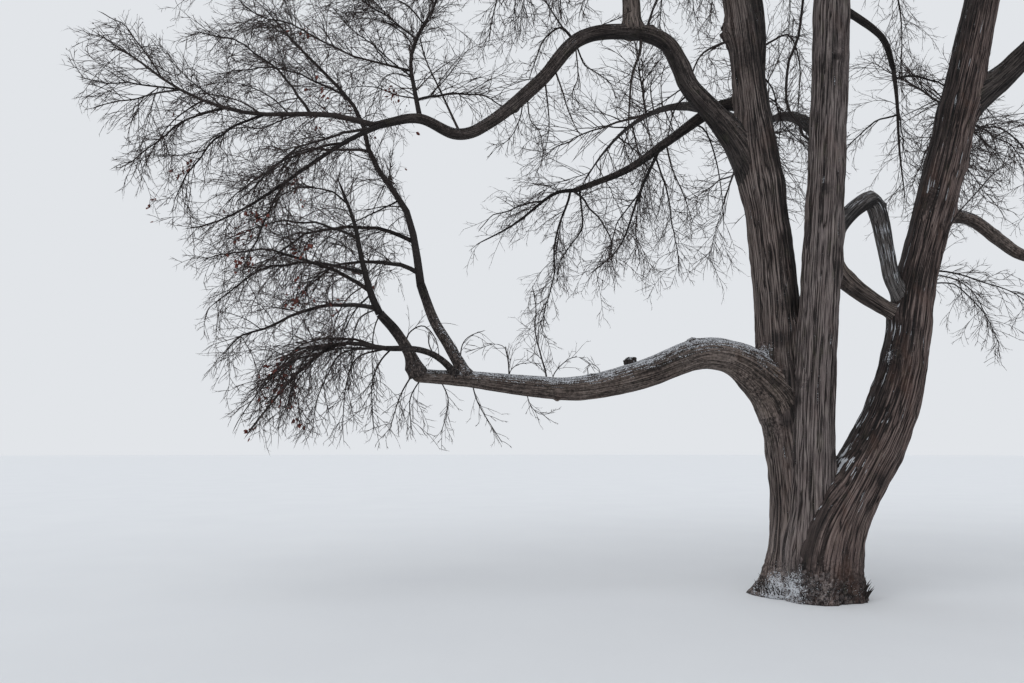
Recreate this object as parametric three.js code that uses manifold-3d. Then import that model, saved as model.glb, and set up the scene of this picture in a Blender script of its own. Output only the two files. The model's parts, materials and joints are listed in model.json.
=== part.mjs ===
// A bare, many-stemmed broadleaf tree in winter. Three stems part from one flared trunk, a low bough
// reaches out to the left, a second one arches over it, and every limb ends in a mass of bare twigs.
// Millimetres and degrees, +Z up. The origin is on the ground under the trunk, +X is to the right and
// +Y is away from the viewer.
import * as THREE from "three";
import { mergeVertices } from "three/addons/utils/BufferGeometryUtils.js";
import Module from "manifold-3d";

const wasm = await Module();
wasm.setup();

// Driving sizes of the whole tree
const gap = 0.35; // between a limb and what carries it
const ringStep = 330; // about the length between two rings of a limb
const stemStep = 700; // and of a mass's stem
const twigSides = 3;
const sampleShares = [0.1, 0.25, 0.4, 0.55, 0.7, 0.85, 1]; // of an axis, where its space is measured from
const groundDepth = 400; // how far the stems are built below the ground before the flat cut
const limbClearance = 55; // from the middle of a twig to any limb
const massClearance = 70; // from a twig to the border between two masses' spaces
const massTip = 16; // girth of a mass's stem at its tip
const twigTip = 7; // and of a twig

// The three stems. Girth is the diameter at even stations from the foot to the tip. A root is
// [heading, reach, half width in degrees], and forkAt is the share of the stem that is trunk.
const stems = {
  stem_left: {
    through: [
      [-140, 100, -groundDepth], [-140, 100, 0], [-125, 100, 1040], [-225, 100, 2340], [-255, 100, 3500],
      [-350, 100, 4760], [-460, 100, 5980], [-560, 110, 7180], [-800, 160, 8600], [-1030, 230, 10100],
      [-1340, 320, 11500], [-1540, 440, 12900],
    ],
    girth: [560, 560, 540, 520, 500, 470, 370, 350, 310, 280, 250, 220, 190],
    roots: [[182, 300, 26], [222, 250, 24], [128, 240, 26], [80, 170, 24]],
    forkAt: 0.272,
  },
  stem_middle: {
    through: [
      [-60, -140, -groundDepth], [-60, -140, 0], [-30, -140, 1120], [40, -190, 2280], [140, -250, 3440],
      [250, -280, 4590], [340, -320, 5750], [420, -350, 6910], [520, -360, 8400], [600, -320, 10000],
      [750, -220, 11800], [820, -100, 14000],
    ],
    girth: [500, 500, 450, 430, 415, 410, 410, 400, 350, 320, 280, 240, 200],
    roots: [[262, 170, 22], [300, 150, 24], [228, 140, 20]],
    forkAt: 0.247,
  },
  stem_right: {
    through: [
      [140, 20, -groundDepth], [170, 20, 0], [310, 40, 590], [575, 60, 1180], [850, 80, 1720],
      [1105, 100, 2260], [1290, 130, 2900], [1450, 160, 3590], [1860, 210, 4820], [2250, 250, 6060],
      [2620, 300, 7300], [3000, 360, 8600], [3300, 400, 9900], [3720, 350, 11300], [4000, 300, 12900],
    ],
    girth: [480, 520, 620, 525, 455, 470, 430, 400, 360, 330, 290, 250, 200],
    roots: [[4, 150, 24], [318, 130, 24], [55, 200, 26]],
    forkAt: 0.215,
  },
};

// The boughs. A bough's foot is sunk in the limb it is on and then cut clear of it. A long bend is
// split at the shares in cuts, and meets names a second limb that the bough's tip runs up against.
const boughs = {
  low_bough: {
    on: "stem_left",
    through: [
      [-300, 20, 2180], [-520, -40, 2440], [-760, -80, 2610], [-1040, -130, 2690], [-1360, -190, 2660],
      [-1950, -250, 2430], [-2630, -310, 2280], [-3190, -380, 2300], [-3850, -440, 2370], [-4490, -500, 2410],
    ],
    girth: [560, 480, 370, 345, 330, 300, 270, 245, 220, 185, 155, 140],
  },
  outer_riser: {
    on: "low_bough",
    through: [[-4420, -500, 2400], [-4510, -545, 2640], [-4650, -600, 2870], [-4830, -650, 3070]],
    girth: [150, 115, 105, 95],
  },
  inner_riser: {
    on: "low_bough",
    through: [[-3880, -445, 2380], [-4100, -320, 2760], [-4290, -180, 3080], [-4460, -50, 3520]],
    girth: [150, 120, 112, 105],
  },
  low_arm: {
    on: "low_bough",
    through: [[-3960, -460, 2370], [-4170, -600, 2580], [-4400, -700, 2670], [-4730, -800, 2670]],
    girth: [85, 70, 62, 56],
  },
  arch: {
    on: "stem_left",
    through: [
      [-400, 100, 4800], [-640, 80, 5280], [-930, 40, 5660], [-1230, -30, 5970], [-1370, -90, 6260],
      [-1550, -150, 6490], [-1950, -220, 6580], [-2580, -280, 6460], [-3070, -350, 5880],
      [-3640, -410, 5360], [-4020, -470, 5190], [-4460, -540, 5350], [-4940, -600, 5240],
    ],
    girth: [370, 330, 260, 230, 200, 180, 165, 160, 155, 140, 125, 110, 88],
    cuts: [0.33, 0.55],
    pieces: ["arch_rise", "arch_crown", "arch_fall"],
  },
  arch_upright: {
    on: "arch",
    through: [
      [-1940, -200, 6560], [-1940, -150, 7030], [-1980, -120, 7900], [-2150, -80, 8900], [-2300, 0, 9700],
    ],
    girth: [240, 195, 180, 160, 130],
  },
  middle_bough: {
    on: "stem_left",
    through: [
      [-430, 120, 5840], [-820, 340, 5860], [-1390, 530, 5510], [-1910, 710, 5190], [-2560, 900, 4980],
    ],
    girth: [170, 150, 115, 100, 85, 65],
  },
  crook: {
    on: "stem_middle",
    meets: "stem_right",
    through: [
      [190, -250, 3860], [430, -190, 4200], [680, -140, 4440], [870, -80, 4520], [985, -20, 4310],
      [1070, 40, 3900], [1150, 80, 3550], [1400, 150, 3120],
    ],
    girth: [210, 195, 190, 200, 190, 180, 170, 160],
    cuts: [0.4],
    pieces: ["crook_rise", "crook_fall"],
  },
  brace: {
    on: "stem_middle",
    meets: "stem_right",
    through: [
      [180, -260, 3860], [330, -190, 3690], [520, -110, 3540], [860, 30, 3345], [1330, 150, 3120],
    ],
    girth: [250, 230, 200, 175, 160],
  },
  right_bough: {
    on: "stem_right",
    through: [
      [1740, 190, 4420], [2160, 180, 4380], [2540, 220, 4120], [2840, 250, 3940], [3500, 320, 3800],
    ],
    girth: [170, 150, 140, 125, 105],
  },
  mid_right_bough: {
    on: "stem_middle",
    through: [[430, -320, 6860], [800, 0, 6940], [1290, 250, 6760], [1530, 500, 6480]],
    girth: [120, 95, 80, 65],
  },
  twin_leader: {
    on: "stem_left",
    through: [
      [-470, 110, 6150], [-330, 220, 6750], [-300, 420, 7500], [-330, 760, 8400], [-450, 1150, 9300],
    ],
    girth: [300, 250, 215, 170],
  },
  right_leader: {
    on: "stem_right",
    through: [[2180, 240, 5760], [2720, 200, 6200], [3500, 60, 7000], [4300, -120, 8100]],
    girth: [330, 270, 225, 175],
  },
};

// A mass of twigs has a stem through its own points, from the tip or the side of a bough, and arms. An arm is
// [share of the stem, length, heading, rise at its foot, rise at its tip]. Weep is how fast its twigs
// turn down, for each metre, and a negative one makes them turn up.
const masses = {
  twigs_low_fan: {
    on: "low_arm",
    through: [
      [-4730, -800, 2670], [-5190, -930, 2700], [-5560, -1050, 2420], [-5900, -1180, 1950],
      [-6040, -1290, 1700],
    ],
    girth: [54, 16],
    arms: [[0.12, 1300, 196, 8, -62], [0.3, 1150, 235, -8, -70], [0.02, 1500, 172, 20, -50]],
    weep: 0.55,
    reach: 1100,
  },
  twigs_outer_riser: {
    on: "outer_riser",
    through: [
      [-4830, -650, 3070], [-4920, -710, 3280], [-5020, -780, 3660], [-5100, -840, 4050],
      [-5280, -900, 4520],
    ],
    girth: [92, 22],
    arms: [
      [0.04, 1850, 206, 6, -52], [0.17, 2250, 172, 40, -24], [0.3, 1750, 196, 18, -50],
      [0.55, 1500, 180, 30, -30], [0.8, 1150, 164, 42, -35],
    ],
    weep: 0.5,
    reach: 1300,
  },
  twigs_inner_riser: {
    on: "inner_riser",
    through: [
      [-4460, -50, 3520], [-4550, 70, 4030], [-4690, 200, 4510], [-5130, 320, 5180], [-5390, 450, 5920],
      [-6240, 570, 6880], [-6720, 700, 7470],
    ],
    girth: [102, 22],
    arms: [
      [0.03, 1700, 184, 34, -66], [0.12, 2500, 168, 30, -50], [0.3, 1100, 100, 50, -20],
      [0.42, 1900, 160, 22, -40], [0.6, 1900, 182, 36, -20], [0.8, 1500, 150, 50, 0],
    ],
    weep: 0.4,
    reach: 1500,
  },
  twigs_arch_far: {
    on: "arch",
    through: [
      [-4940, -600, 5240], [-5480, -700, 5330], [-6350, -800, 5300], [-7040, -900, 5520],
      [-7490, -1000, 5830], [-8250, -1100, 6310],
    ],
    girth: [72, 14],
    arms: [
      [0.2, 1900, 172, 58, 22], [0.46, 1500, 196, -22, -60], [0.6, 1500, 188, 8, 2],
      [0.34, 1500, 200, -30, -72], [0.66, 1300, 170, 62, 25], [0.6, 1500, 202, -16, -46],
    ],
    weep: 0.25,
    reach: 1150,
  },
  twigs_arch_near: {
    on: "arch",
    through: [
      [-4810, -590, 5270], [-5180, -830, 4980], [-5550, -1040, 4610], [-6040, -1260, 4130],
      [-6420, -1480, 3830], [-6820, -1680, 3700],
    ],
    girth: [64, 14],
    arms: [[0.06, 1900, 214, -14, -62], [0.22, 1600, 190, -12, -58], [0.5, 1100, 200, -60, -80]],
    weep: 0.5,
    reach: 1100,
  },
  twigs_arch_top: {
    on: "arch",
    through: [
      [-4440, -530, 5350], [-4530, -420, 5780], [-4580, -380, 6120], [-4510, -300, 6500],
      [-4300, -200, 7000], [-4260, -150, 7500],
    ],
    girth: [62, 18],
    arms: [
      [0.3, 2500, 184, 12, 34], [0.5, 1300, 200, 40, 12], [0.75, 1500, 150, 50, 18],
      [0.12, 1250, 12, 24, -28],
    ],
    weep: 0.05,
    reach: 1300,
  },
  twigs_middle_bough: {
    on: "middle_bough",
    through: [[-2560, 900, 4980], [-2850, 970, 4950], [-3360, 1030, 4560], [-3890, 1100, 4290]],
    girth: [58, 14],
    arms: [[0.04, 2000, 215, -70, -84], [0.3, 1150, 150, 10, -45], [0.02, 1500, 300, -30, -80]],
    weep: 0.6,
    reach: 1150,
  },
  twigs_middle_hanging: {
    on: "middle_bough",
    through: [[-1520, 600, 5380], [-1740, 760, 4890], [-1990, 900, 4220], [-2420, 1050, 3850]],
    girth: [46, 12],
    arms: [[0.03, 1700, 40, -60, -88], [0.3, 1000, 170, -50, -74], [0.05, 1500, 100, -20, -80]],
    weep: 0.7,
    reach: 1100,
  },
  twigs_right_bough: {
    on: "right_bough",
    through: [[3500, 320, 3800], [4300, 420, 3820], [5200, 560, 3720], [6200, 760, 3400]],
    girth: [96, 16],
    weep: 0.45,
    reach: 1700,
  },
  twigs_mid_right: {
    on: "mid_right_bough",
    through: [[1530, 500, 6480], [1660, 720, 6120], [1740, 900, 5550], [1850, 1050, 4900]],
    girth: [60, 12],
    arms: [[0.08, 1600, 10, 20, -60], [0.25, 1300, 60, 10, -70], [0.35, 1000, 170, -10, -70]],
    weep: 0.6,
    reach: 1200,
  },
};

// Boughs of the upper crown and of the back, where a bough and then the stem of its mass run in one arc:
// [on, share, heading, bough's length, mass's length, rise at the foot, rise at the far tip, foot's girth]
const arcs = {
  back_low: ["stem_middle", 0.385, 86, 2300, 4400, 42, -22, 170],
  back_left: ["stem_left", 0.43, 105, 2400, 4500, 44, -20, 170],
  back_right: ["stem_right", 0.47, 62, 2300, 4300, 38, -20, 165],
  upper_left: ["stem_left", 0.6, 205, 2300, 4300, 42, -6, 165],
  upper_front: ["stem_middle", 0.56, 285, 2500, 4500, 46, -14, 170],
  upper_right: ["stem_right", 0.6, 322, 2400, 4300, 42, -8, 165],
  upper_back_left: ["stem_left", 0.66, 147, 2100, 4100, 46, -4, 145],
  upper_back_right: ["stem_right", 0.68, 18, 2100, 3900, 44, -2, 145],
};
const arcMesh = { sides: 6, step: 460 };
const arcSteps = 40; // straight steps in such an arc

// Masses that grow straight from a stem high up: [on, share, heading, length, rise, rise at the tip, girth]
const highMasses = {
  twigs_high_1: ["stem_left", 0.77, 236, 3800, 54, 14, 92],
  twigs_high_2: ["stem_left", 0.87, 118, 3500, 58, 22, 84],
  twigs_high_3: ["stem_middle", 0.73, 262, 3900, 54, 14, 95],
  twigs_high_4: ["stem_middle", 0.68, 84, 4000, 52, 8, 98],
  twigs_high_5: ["stem_middle", 0.86, 28, 3500, 58, 24, 84],
  twigs_high_6: ["stem_right", 0.78, 58, 3800, 54, 14, 92],
  twigs_high_7: ["stem_right", 0.88, 304, 3500, 56, 20, 84],
};

// Masses that carry a stem or a leader on to the top of the crown:
// [on, length, heading, rise, rise at the tip]
const topMasses = {
  twigs_top_left: ["stem_left", 3300, 168, 78, 60],
  twigs_top_middle: ["stem_middle", 3600, 10, 84, 78],
  twigs_top_right: ["stem_right", 3300, 350, 76, 58],
  twigs_twin_leader: ["twin_leader", 3900, 100, 68, 52],
  twigs_right_leader: ["right_leader", 4200, 350, 46, 14],
  twigs_arch_upright: ["arch_upright", 3900, 196, 72, 40],
};
const ruledMass = { weep: 0.2, reach: 2100 };

// The growing rule. Each kind of shoot says how far apart shoots leave their parent, where along it the
// first one is, its length there as a share of the reach, how much of that is left at the parent's tip,
// the angle it leaves at, how it wanders, and its straight steps. One in so many as keep says is built.
const armRule = {
  spacing: 720, first: 0.08, length: 1.02, left: 0.45, angle: [42, 62], wander: 0.16, steps: 3, keep: 1,
};
const branchRule = {
  spacing: 300, first: 0.1, length: 0.62, left: 0.38, angle: [34, 60], wander: 0.2, steps: 2, keep: 5,
};
const shareLeft = 0.97; // of a parent, beyond which no shoot leaves it
const lengthSpread = [0.7, 1.15]; // of shoots, round the rule's own length
const sideSpread = 50; // degrees that a shoot may be off its turn
const goldenAngle = 137.5;
const shootGirth = 0.55; // of the parent's girth where it leaves, at most
const shootSlenderness = 0.024; // girth over length, at most
const lowestTwig = 1100; // height that no shoot goes under

const radians = THREE.MathUtils.degToRad;
const mix = THREE.MathUtils.lerp;
const vector = (x, y, z) => new THREE.Vector3(x, y, z);

// A number from 0 to 1 that depends only on a shoot's own number and on what it is drawn for.
function chance(number, use) {
  const wave = Math.abs(Math.sin(number * 12.9898 + use * 78.233 + 4.137)) * 43758.5453;
  return wave - Math.floor(wave);
}

// A limb's line through its points, resampled in even steps.
function lineThrough(points, step = 60) {
  const curve = new THREE.CatmullRomCurve3(points.map((p) => vector(...p)), false, "catmullrom", 0.5);
  curve.arcLengthDivisions = 400;
  return curve.getSpacedPoints(Math.max(6, Math.round(curve.getLength() / step)));
}

// A line that leaves a point at one rise and bends evenly to another, always on one heading.
function lineArc(start, length, heading, riseAtFoot, riseAtTip, steps = 16) {
  const line = [start.clone()];
  for (let k = 0; k < steps; k++) {
    const rise = radians(mix(riseAtFoot, riseAtTip, (k + 0.5) / steps));
    const level = Math.cos(rise) * (length / steps);
    const next = vector(
      level * Math.cos(radians(heading)),
      level * Math.sin(radians(heading)),
      Math.sin(rise) * (length / steps),
    );
    line.push(next.add(line[k]));
  }
  return line;
}

function pointOn(line, share) {
  const at = THREE.MathUtils.clamp(share, 0, 1) * (line.length - 1);
  const k = Math.min(Math.floor(at), line.length - 2);
  return line[k].clone().lerp(line[k + 1], at - k);
}

function directionOn(line, share) {
  const k = Math.min(Math.floor(share * (line.length - 1)), line.length - 2);
  return line[k + 1].clone().sub(line[k]).normalize();
}

const lengthOf = (line) => line.slice(1).reduce((sum, p, k) => sum + p.distanceTo(line[k]), 0);

// The value at a share of the way through a list of values at even stations.
function valueAt(list, share) {
  const at = share * (list.length - 1);
  const k = Math.min(Math.floor(at), list.length - 2);
  return mix(list[k], list[k + 1], at - k);
}

// How far the roots push a stem's skin out at a heading and height.
function rootReach(roots, heading, height) {
  const fade = Math.exp(-Math.max(height, 0) / 260);
  return (roots ?? []).reduce((sum, [middle, reach, width]) => {
    const turn = ((((heading - middle) % 360) + 540) % 360) - 180;
    return sum + reach * fade * Math.exp(-((turn / width) ** 2));
  }, 0);
}

// A cylinder, or a cone where the tip is pointed, bent along a stretch of a line. Its rings take their
// radius from the girth, and each ring's axes are carried on from the ring before it. Grow is added all
// over, and shift moves the first ring along.
function limbSolid(limb) {
  const { line, girth, roots, sides, from = 0, to = 1, step = ringStep, grow = 0, shift = 0, pointed } = limb;
  const stretch = lengthOf(line) * (to - from);
  const rings = Math.max(2, Math.round(stretch / step));
  const shape = new THREE.CylinderGeometry(pointed ? 0 : 1, 1, 1, sides, rings);
  const frames = [];
  let across = vector(1, 0, 0);
  for (let k = 0; k <= rings; k++) {
    const share = mix(from, to, k / rings);
    const along = directionOn(line, Math.min(share, 0.9999));
    if (k === 0 && Math.abs(along.x) > 0.9) across = vector(0, 1, 0);
    across = across.clone().addScaledVector(along, -across.dot(along)).normalize();
    const centre = pointOn(line, share);
    if (k === 0) centre.addScaledVector(along, shift - grow);
    if (k === rings) centre.addScaledVector(along, grow);
    const radius = valueAt(girth, share) / 2 + grow;
    frames.push({ centre, across, up: across.clone().cross(along), radius });
  }
  const place = shape.attributes.position;
  for (let i = 0; i < place.count; i++) {
    const [x, y, z] = [place.getX(i), place.getY(i), place.getZ(i)];
    const frame = frames[Math.round((y + 0.5) * rings)];
    const out = vector(0, 0, 0);
    if (Math.hypot(x, z) > 1e-6) {
      out.addScaledVector(frame.across, x).addScaledVector(frame.up, z).normalize();
      const heading = THREE.MathUtils.radToDeg(Math.atan2(out.y, out.x));
      out.multiplyScalar(frame.radius + rootReach(roots, heading, frame.centre.z));
    }
    place.setXYZ(i, ...out.add(frame.centre));
  }
  return solidOf(shape);
}

// A closed mesh as a solid for joining and cutting.
function solidOf(geometry) {
  geometry.deleteAttribute("normal");
  geometry.deleteAttribute("uv");
  const merged = mergeVertices(geometry, 1e-3);
  return new wasm.Manifold(
    new wasm.Mesh({
      numProp: 3,
      vertProperties: merged.attributes.position.array,
      triVerts: new Uint32Array(merged.index.array),
    }),
  );
}

const joined = (solids) => solids.reduce((all, next) => all.add(next));

// The largest body of a cut solid, without the scraps that a cut leaves.
const largest = (solid) => solid.decompose().sort((a, b) => b.volume() - a.volume())[0];

// Lines of all limbs, and then the masses that grow on them.
const limbs = {};
for (const [name, row] of [...Object.entries(stems), ...Object.entries(boughs)])
  limbs[name] = { ...row, line: lineThrough(row.through) };
const crowns = {};
for (const [name, row] of Object.entries(arcs)) {
  const [on, share, heading, boughLength, massLength, riseAtFoot, riseAtTip, foot] = row;
  const start = pointOn(limbs[on].line, share);
  const whole = lineArc(start, boughLength + massLength, heading, riseAtFoot, riseAtTip, arcSteps);
  const cut = Math.round((arcSteps * boughLength) / (boughLength + massLength));
  const girth = [1.25, 1, 0.82, 0.68].map((share) => share * foot);
  limbs["bough_" + name] = { on, girth, line: whole.slice(0, cut + 1), mesh: arcMesh };
  crowns["twigs_" + name] = {
    on: "bough_" + name,
    line: whole.slice(cut),
    girth: [0.66 * foot, massTip],
    ...ruledMass,
  };
}
for (const [name, row] of Object.entries(highMasses)) {
  const [on, share, heading, length, riseAtFoot, riseAtTip, foot] = row;
  const line = lineArc(pointOn(limbs[on].line, share), length, heading, riseAtFoot, riseAtTip);
  crowns[name] = { on, line, girth: [foot, massTip], ...ruledMass };
}
for (const [name, [on, length, heading, riseAtFoot, riseAtTip]] of Object.entries(topMasses)) {
  const line = lineArc(pointOn(limbs[on].line, 1), length, heading, riseAtFoot, riseAtTip);
  crowns[name] = { on, line, girth: [limbs[on].girth.at(-1) * 0.97, massTip], ...ruledMass };
}
for (const [name, row] of Object.entries(masses)) crowns[name] = { ...row, line: lineThrough(row.through) };

// The limbs as short rows of samples, which the twigs keep clear of.
const limbSamples = Object.values(limbs).flatMap(({ line, girth }) =>
  line.map((point, k) => ({ point, radius: valueAt(girth, k / (line.length - 1)) / 2 })),
);
const clearOfLimbs = (point) =>
  limbSamples.every((sample) => sample.point.distanceTo(point) > sample.radius + limbClearance);

// Every mass's axes: its stem, and the arms whose places are given.
Object.values(crowns).forEach((crown, index) => {
  crown.number = index + 1;
  crown.axes = [{ line: crown.line, girth: crown.girth, number: crown.number * 1000 }];
  (crown.arms ?? []).forEach(([share, length, heading, riseAtFoot, riseAtTip], k) =>
    crown.axes.push({
      line: lineArc(pointOn(crown.line, share), length, heading, riseAtFoot, riseAtTip),
      girth: [valueAt(crown.girth, share) * 0.62, 10],
      number: crown.number * 1000 + 500 + k,
    }),
  );
  crown.samples = crown.axes.flatMap(({ line }) => sampleShares.map((share) => pointOn(line, share)));
});

// Whether a point is in a mass's own space: within reach of its axes, and nearer to them than to others'.
function inSpace(crown, point) {
  const nearest = ({ samples }) => Math.min(...samples.map((s) => s.distanceTo(point)));
  const own = nearest(crown);
  if (own > crown.reach || point.z < lowestTwig) return false;
  return Object.values(crowns).every((other) => other === crown || nearest(other) > own + massClearance);
}

// One shoot of a parent: it leaves at an angle, on a side that turns by the golden angle from one shoot
// to the next, and then bends by the mass's weep and by its own wander.
function shoot(parent, crown, rule, index, count) {
  const number = parent.number * 7 + index + 1;
  const share = mix(rule.first, shareLeft, (index + 0.15 + 0.7 * chance(number, 1)) / count);
  const along = directionOn(parent.line, share);
  const across = vector(0, 0, 1).cross(along).normalize();
  const over = along.clone().cross(across);
  const firstSide = 360 * chance(parent.number, 2);
  const side = radians(firstSide + index * goldenAngle + sideSpread * (chance(number, 3) - 0.5));
  const angle = radians(mix(...rule.angle, chance(number, 4)));
  const heading = along
    .clone()
    .multiplyScalar(Math.cos(angle))
    .addScaledVector(across, Math.sin(angle) * Math.cos(side))
    .addScaledVector(over, Math.sin(angle) * Math.sin(side));
  const spread = mix(...lengthSpread, chance(number, 5));
  const length = crown.reach * rule.length * mix(1, rule.left, share) * spread;
  const step = length / rule.steps;
  const line = [pointOn(parent.line, share)];
  for (let k = 0; k < rule.steps; k++) {
    line.push(line[k].clone().addScaledVector(heading, step));
    heading.z -= (crown.weep * step) / 1000;
    heading.x += rule.wander * (chance(number, 10 + 3 * k) - 0.5);
    heading.y += rule.wander * (chance(number, 11 + 3 * k) - 0.5);
    heading.z += rule.wander * (chance(number, 12 + 3 * k) - 0.5);
    heading.normalize();
  }
  const foot = Math.min(valueAt(parent.girth, share) * shootGirth, length * shootSlenderness);
  return { line, girth: [Math.max(foot, 1.5 * twigTip), twigTip], number };
}

// All shoots of one rule on a parent that stay in the mass's space and touch no limb.
function shootsOf(parent, crown, rule) {
  const count = Math.round(lengthOf(parent.line) / rule.spacing);
  const all = Array.from({ length: count }, (_, index) => shoot(parent, crown, rule, index, count));
  const free = all.filter((one) => one.line.slice(1).every((p) => inSpace(crown, p) && clearOfLimbs(p)));
  return free.filter((_, k) => k % rule.keep === 0);
}

// A mass of twigs: its stem, the arms that are given or that the rule adds, and their branches, joined.
function massSolid(crown) {
  const [stem, ...given] = crown.axes;
  const arms = crown.arms ? given : shootsOf(stem, crown, armRule);
  const branches = [stem, ...arms].flatMap((axis) => shootsOf(axis, crown, branchRule));
  const spike = (row, steps) =>
    limbSolid({ ...row, sides: twigSides, step: lengthOf(row.line) / steps, pointed: true });
  return joined([
    limbSolid({ ...stem, sides: twigSides + 1, step: stemStep, pointed: true }),
    ...arms.map((arm) => spike(arm, armRule.steps)),
    ...branches.map((branch) => spike(branch, branchRule.steps)),
  ]);
}

// The stretches of a limb that are solids of their own: a stem's trunk part and the rest, or what lies
// between a bough's cuts.
function stretchesOf(name) {
  const limb = limbs[name];
  if (name in stems)
    return [
      { piece: "trunk", from: 0, to: limb.forkAt, sides: 16, step: 270 },
      { piece: name, from: limb.forkAt, to: 1, sides: 10, step: 700 },
    ];
  const ends = [0, ...(limb.cuts ?? []), 1];
  const pieces = limb.pieces ?? [name];
  return pieces.map((piece, k) => ({ piece, from: ends[k], to: ends[k + 1], sides: 7, ...limb.mesh }));
}

const stretchSolid = (name, k) => limbSolid({ ...limbs[name], ...stretchesOf(name)[k], shift: k ? gap : 0 });

// A whole limb with the gap added to its skin, which cuts what it carries clear of it.
const grownLimb = (name) =>
  joined(stretchesOf(name).map((stretch) => limbSolid({ ...limbs[name], ...stretch, grow: gap })));

// Everything below makes the meshes.
const tree = new THREE.Group();
const bark = new THREE.MeshStandardMaterial({ color: 0x5d524b, roughness: 0.95, metalness: 0 });
const youngBark = new THREE.MeshStandardMaterial({ color: 0x45393a, roughness: 0.9, metalness: 0 });
const twigBark = new THREE.MeshStandardMaterial({ color: 0x3b3133, roughness: 0.9, metalness: 0 });

function addPiece(name, solid, material) {
  const { vertProperties, triVerts } = largest(solid).getMesh();
  const geometry = new THREE.BufferGeometry();
  geometry.setAttribute("position", new THREE.BufferAttribute(vertProperties, 3));
  geometry.setIndex(new THREE.BufferAttribute(triVerts, 1));
  geometry.computeVertexNormals();
  const mesh = new THREE.Mesh(geometry, material);
  mesh.name = name;
  tree.add(mesh);
}

// The trunk: the three stems' feet with their roots, joined and cut flat at the ground
const underground = solidOf(new THREE.BoxGeometry(4000, 4000, 2 * groundDepth).translate(0, 0, -groundDepth));
const trunk = joined(Object.keys(stems).map((name) => stretchSolid(name, 0))).subtract(underground);
addPiece("trunk", trunk, bark);

// The stems above the fork
for (const name of Object.keys(stems)) addPiece(name, stretchSolid(name, 1), bark);

// The boughs, each cut clear of the limb that carries it and of any limb that its tip meets
for (const [name, limb] of Object.entries(limbs)) {
  if (name in stems) continue;
  stretchesOf(name).forEach(({ piece, to }, k) => {
    const carriers = limb.on in stems ? Object.keys(stems) : [limb.on];
    const touched = [...(k === 0 ? carriers : []), ...(limb.meets && to === 1 ? [limb.meets] : [])];
    const solid = touched.reduce((left, other) => left.subtract(grownLimb(other)), stretchSolid(name, k));
    addPiece(piece, solid, name in boughs ? bark : youngBark);
  });
}

// The masses of twigs, each cut clear of the bough it grows on
for (const [name, crown] of Object.entries(crowns))
  addPiece(name, massSolid(crown).subtract(grownLimb(crown.on)), twigBark);

export default tree;
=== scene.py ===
import json
import math
import time
import bpy
import numpy as np
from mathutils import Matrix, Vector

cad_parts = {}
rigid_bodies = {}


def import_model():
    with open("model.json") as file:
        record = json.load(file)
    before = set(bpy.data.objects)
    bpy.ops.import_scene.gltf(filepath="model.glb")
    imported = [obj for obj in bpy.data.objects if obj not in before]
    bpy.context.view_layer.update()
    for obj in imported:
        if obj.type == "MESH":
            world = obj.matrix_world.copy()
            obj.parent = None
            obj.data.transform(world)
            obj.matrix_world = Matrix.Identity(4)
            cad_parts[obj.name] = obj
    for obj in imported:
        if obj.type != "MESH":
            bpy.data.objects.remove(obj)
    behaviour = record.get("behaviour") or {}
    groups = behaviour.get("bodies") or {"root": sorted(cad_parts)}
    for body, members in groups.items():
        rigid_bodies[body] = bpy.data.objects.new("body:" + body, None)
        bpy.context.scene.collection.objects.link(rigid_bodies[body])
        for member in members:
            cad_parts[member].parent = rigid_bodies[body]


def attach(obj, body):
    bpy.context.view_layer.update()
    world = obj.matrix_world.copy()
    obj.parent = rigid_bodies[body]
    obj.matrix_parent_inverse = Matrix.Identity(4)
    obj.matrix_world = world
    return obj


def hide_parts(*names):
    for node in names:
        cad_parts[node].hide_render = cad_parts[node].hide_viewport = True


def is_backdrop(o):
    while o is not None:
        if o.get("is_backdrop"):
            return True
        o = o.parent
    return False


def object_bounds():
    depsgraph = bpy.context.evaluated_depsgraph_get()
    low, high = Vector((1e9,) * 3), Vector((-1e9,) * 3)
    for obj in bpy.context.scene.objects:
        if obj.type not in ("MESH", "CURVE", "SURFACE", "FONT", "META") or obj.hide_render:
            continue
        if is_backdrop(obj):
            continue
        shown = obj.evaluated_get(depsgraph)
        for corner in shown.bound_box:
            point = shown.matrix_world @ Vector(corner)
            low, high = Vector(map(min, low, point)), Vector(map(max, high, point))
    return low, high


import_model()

cadLow, cadHigh = (np.array(corner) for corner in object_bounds())
mm = 0.001
began = time.time()


def report(stage):
    print(f"{time.time() - began:6.1f} s  {stage}")


# The camera stands at eye height, a little over three metres to the left of the trunk and nine in front of it
view = dict(place=(-3.39, -9.2, 1.6), pitch=7.76, lens=27.98, sensor=36.0, frame=(1024, 683))
focal = view["lens"] / view["sensor"] * view["frame"][0]  # in pixels
pitch = math.radians(view["pitch"])
goldenAngle = 137.5  # degrees that a shoot's side turns by from one shoot to the next
childGirth = 0.62  # a side shoot's greatest girth, as a share of its parent's there
firstSideNumber = 90000  # the small limbs' numbers start here, past those of the masses' axes


def unit(v):  # v over its own length
    return v / np.maximum(np.linalg.norm(v, axis=-1, keepdims=True), 1e-9)


def mix(a, b, t):  # a at t = 0 and b at t = 1
    return a + (b - a) * t


def smoothStep(low, high, x):  # 0 below low, 1 above high, and 3 t^2 - 2 t^3 between them
    t = np.clip((x - low) / (high - low), 0, 1)
    return t * t * (3 - 2 * t)


def spot(across, down, depth):  # the point at one depth (y) on the ray through a place of the frame
    right, up = (across - view["frame"][0] / 2) / focal, (view["frame"][1] / 2 - down) / focal
    ahead, rise = math.cos(pitch) - up * math.sin(pitch), math.sin(pitch) + up * math.cos(pitch)
    return np.array(view["place"]) + np.array([right, ahead, rise]) * (depth - view["place"][1]) / ahead


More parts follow.
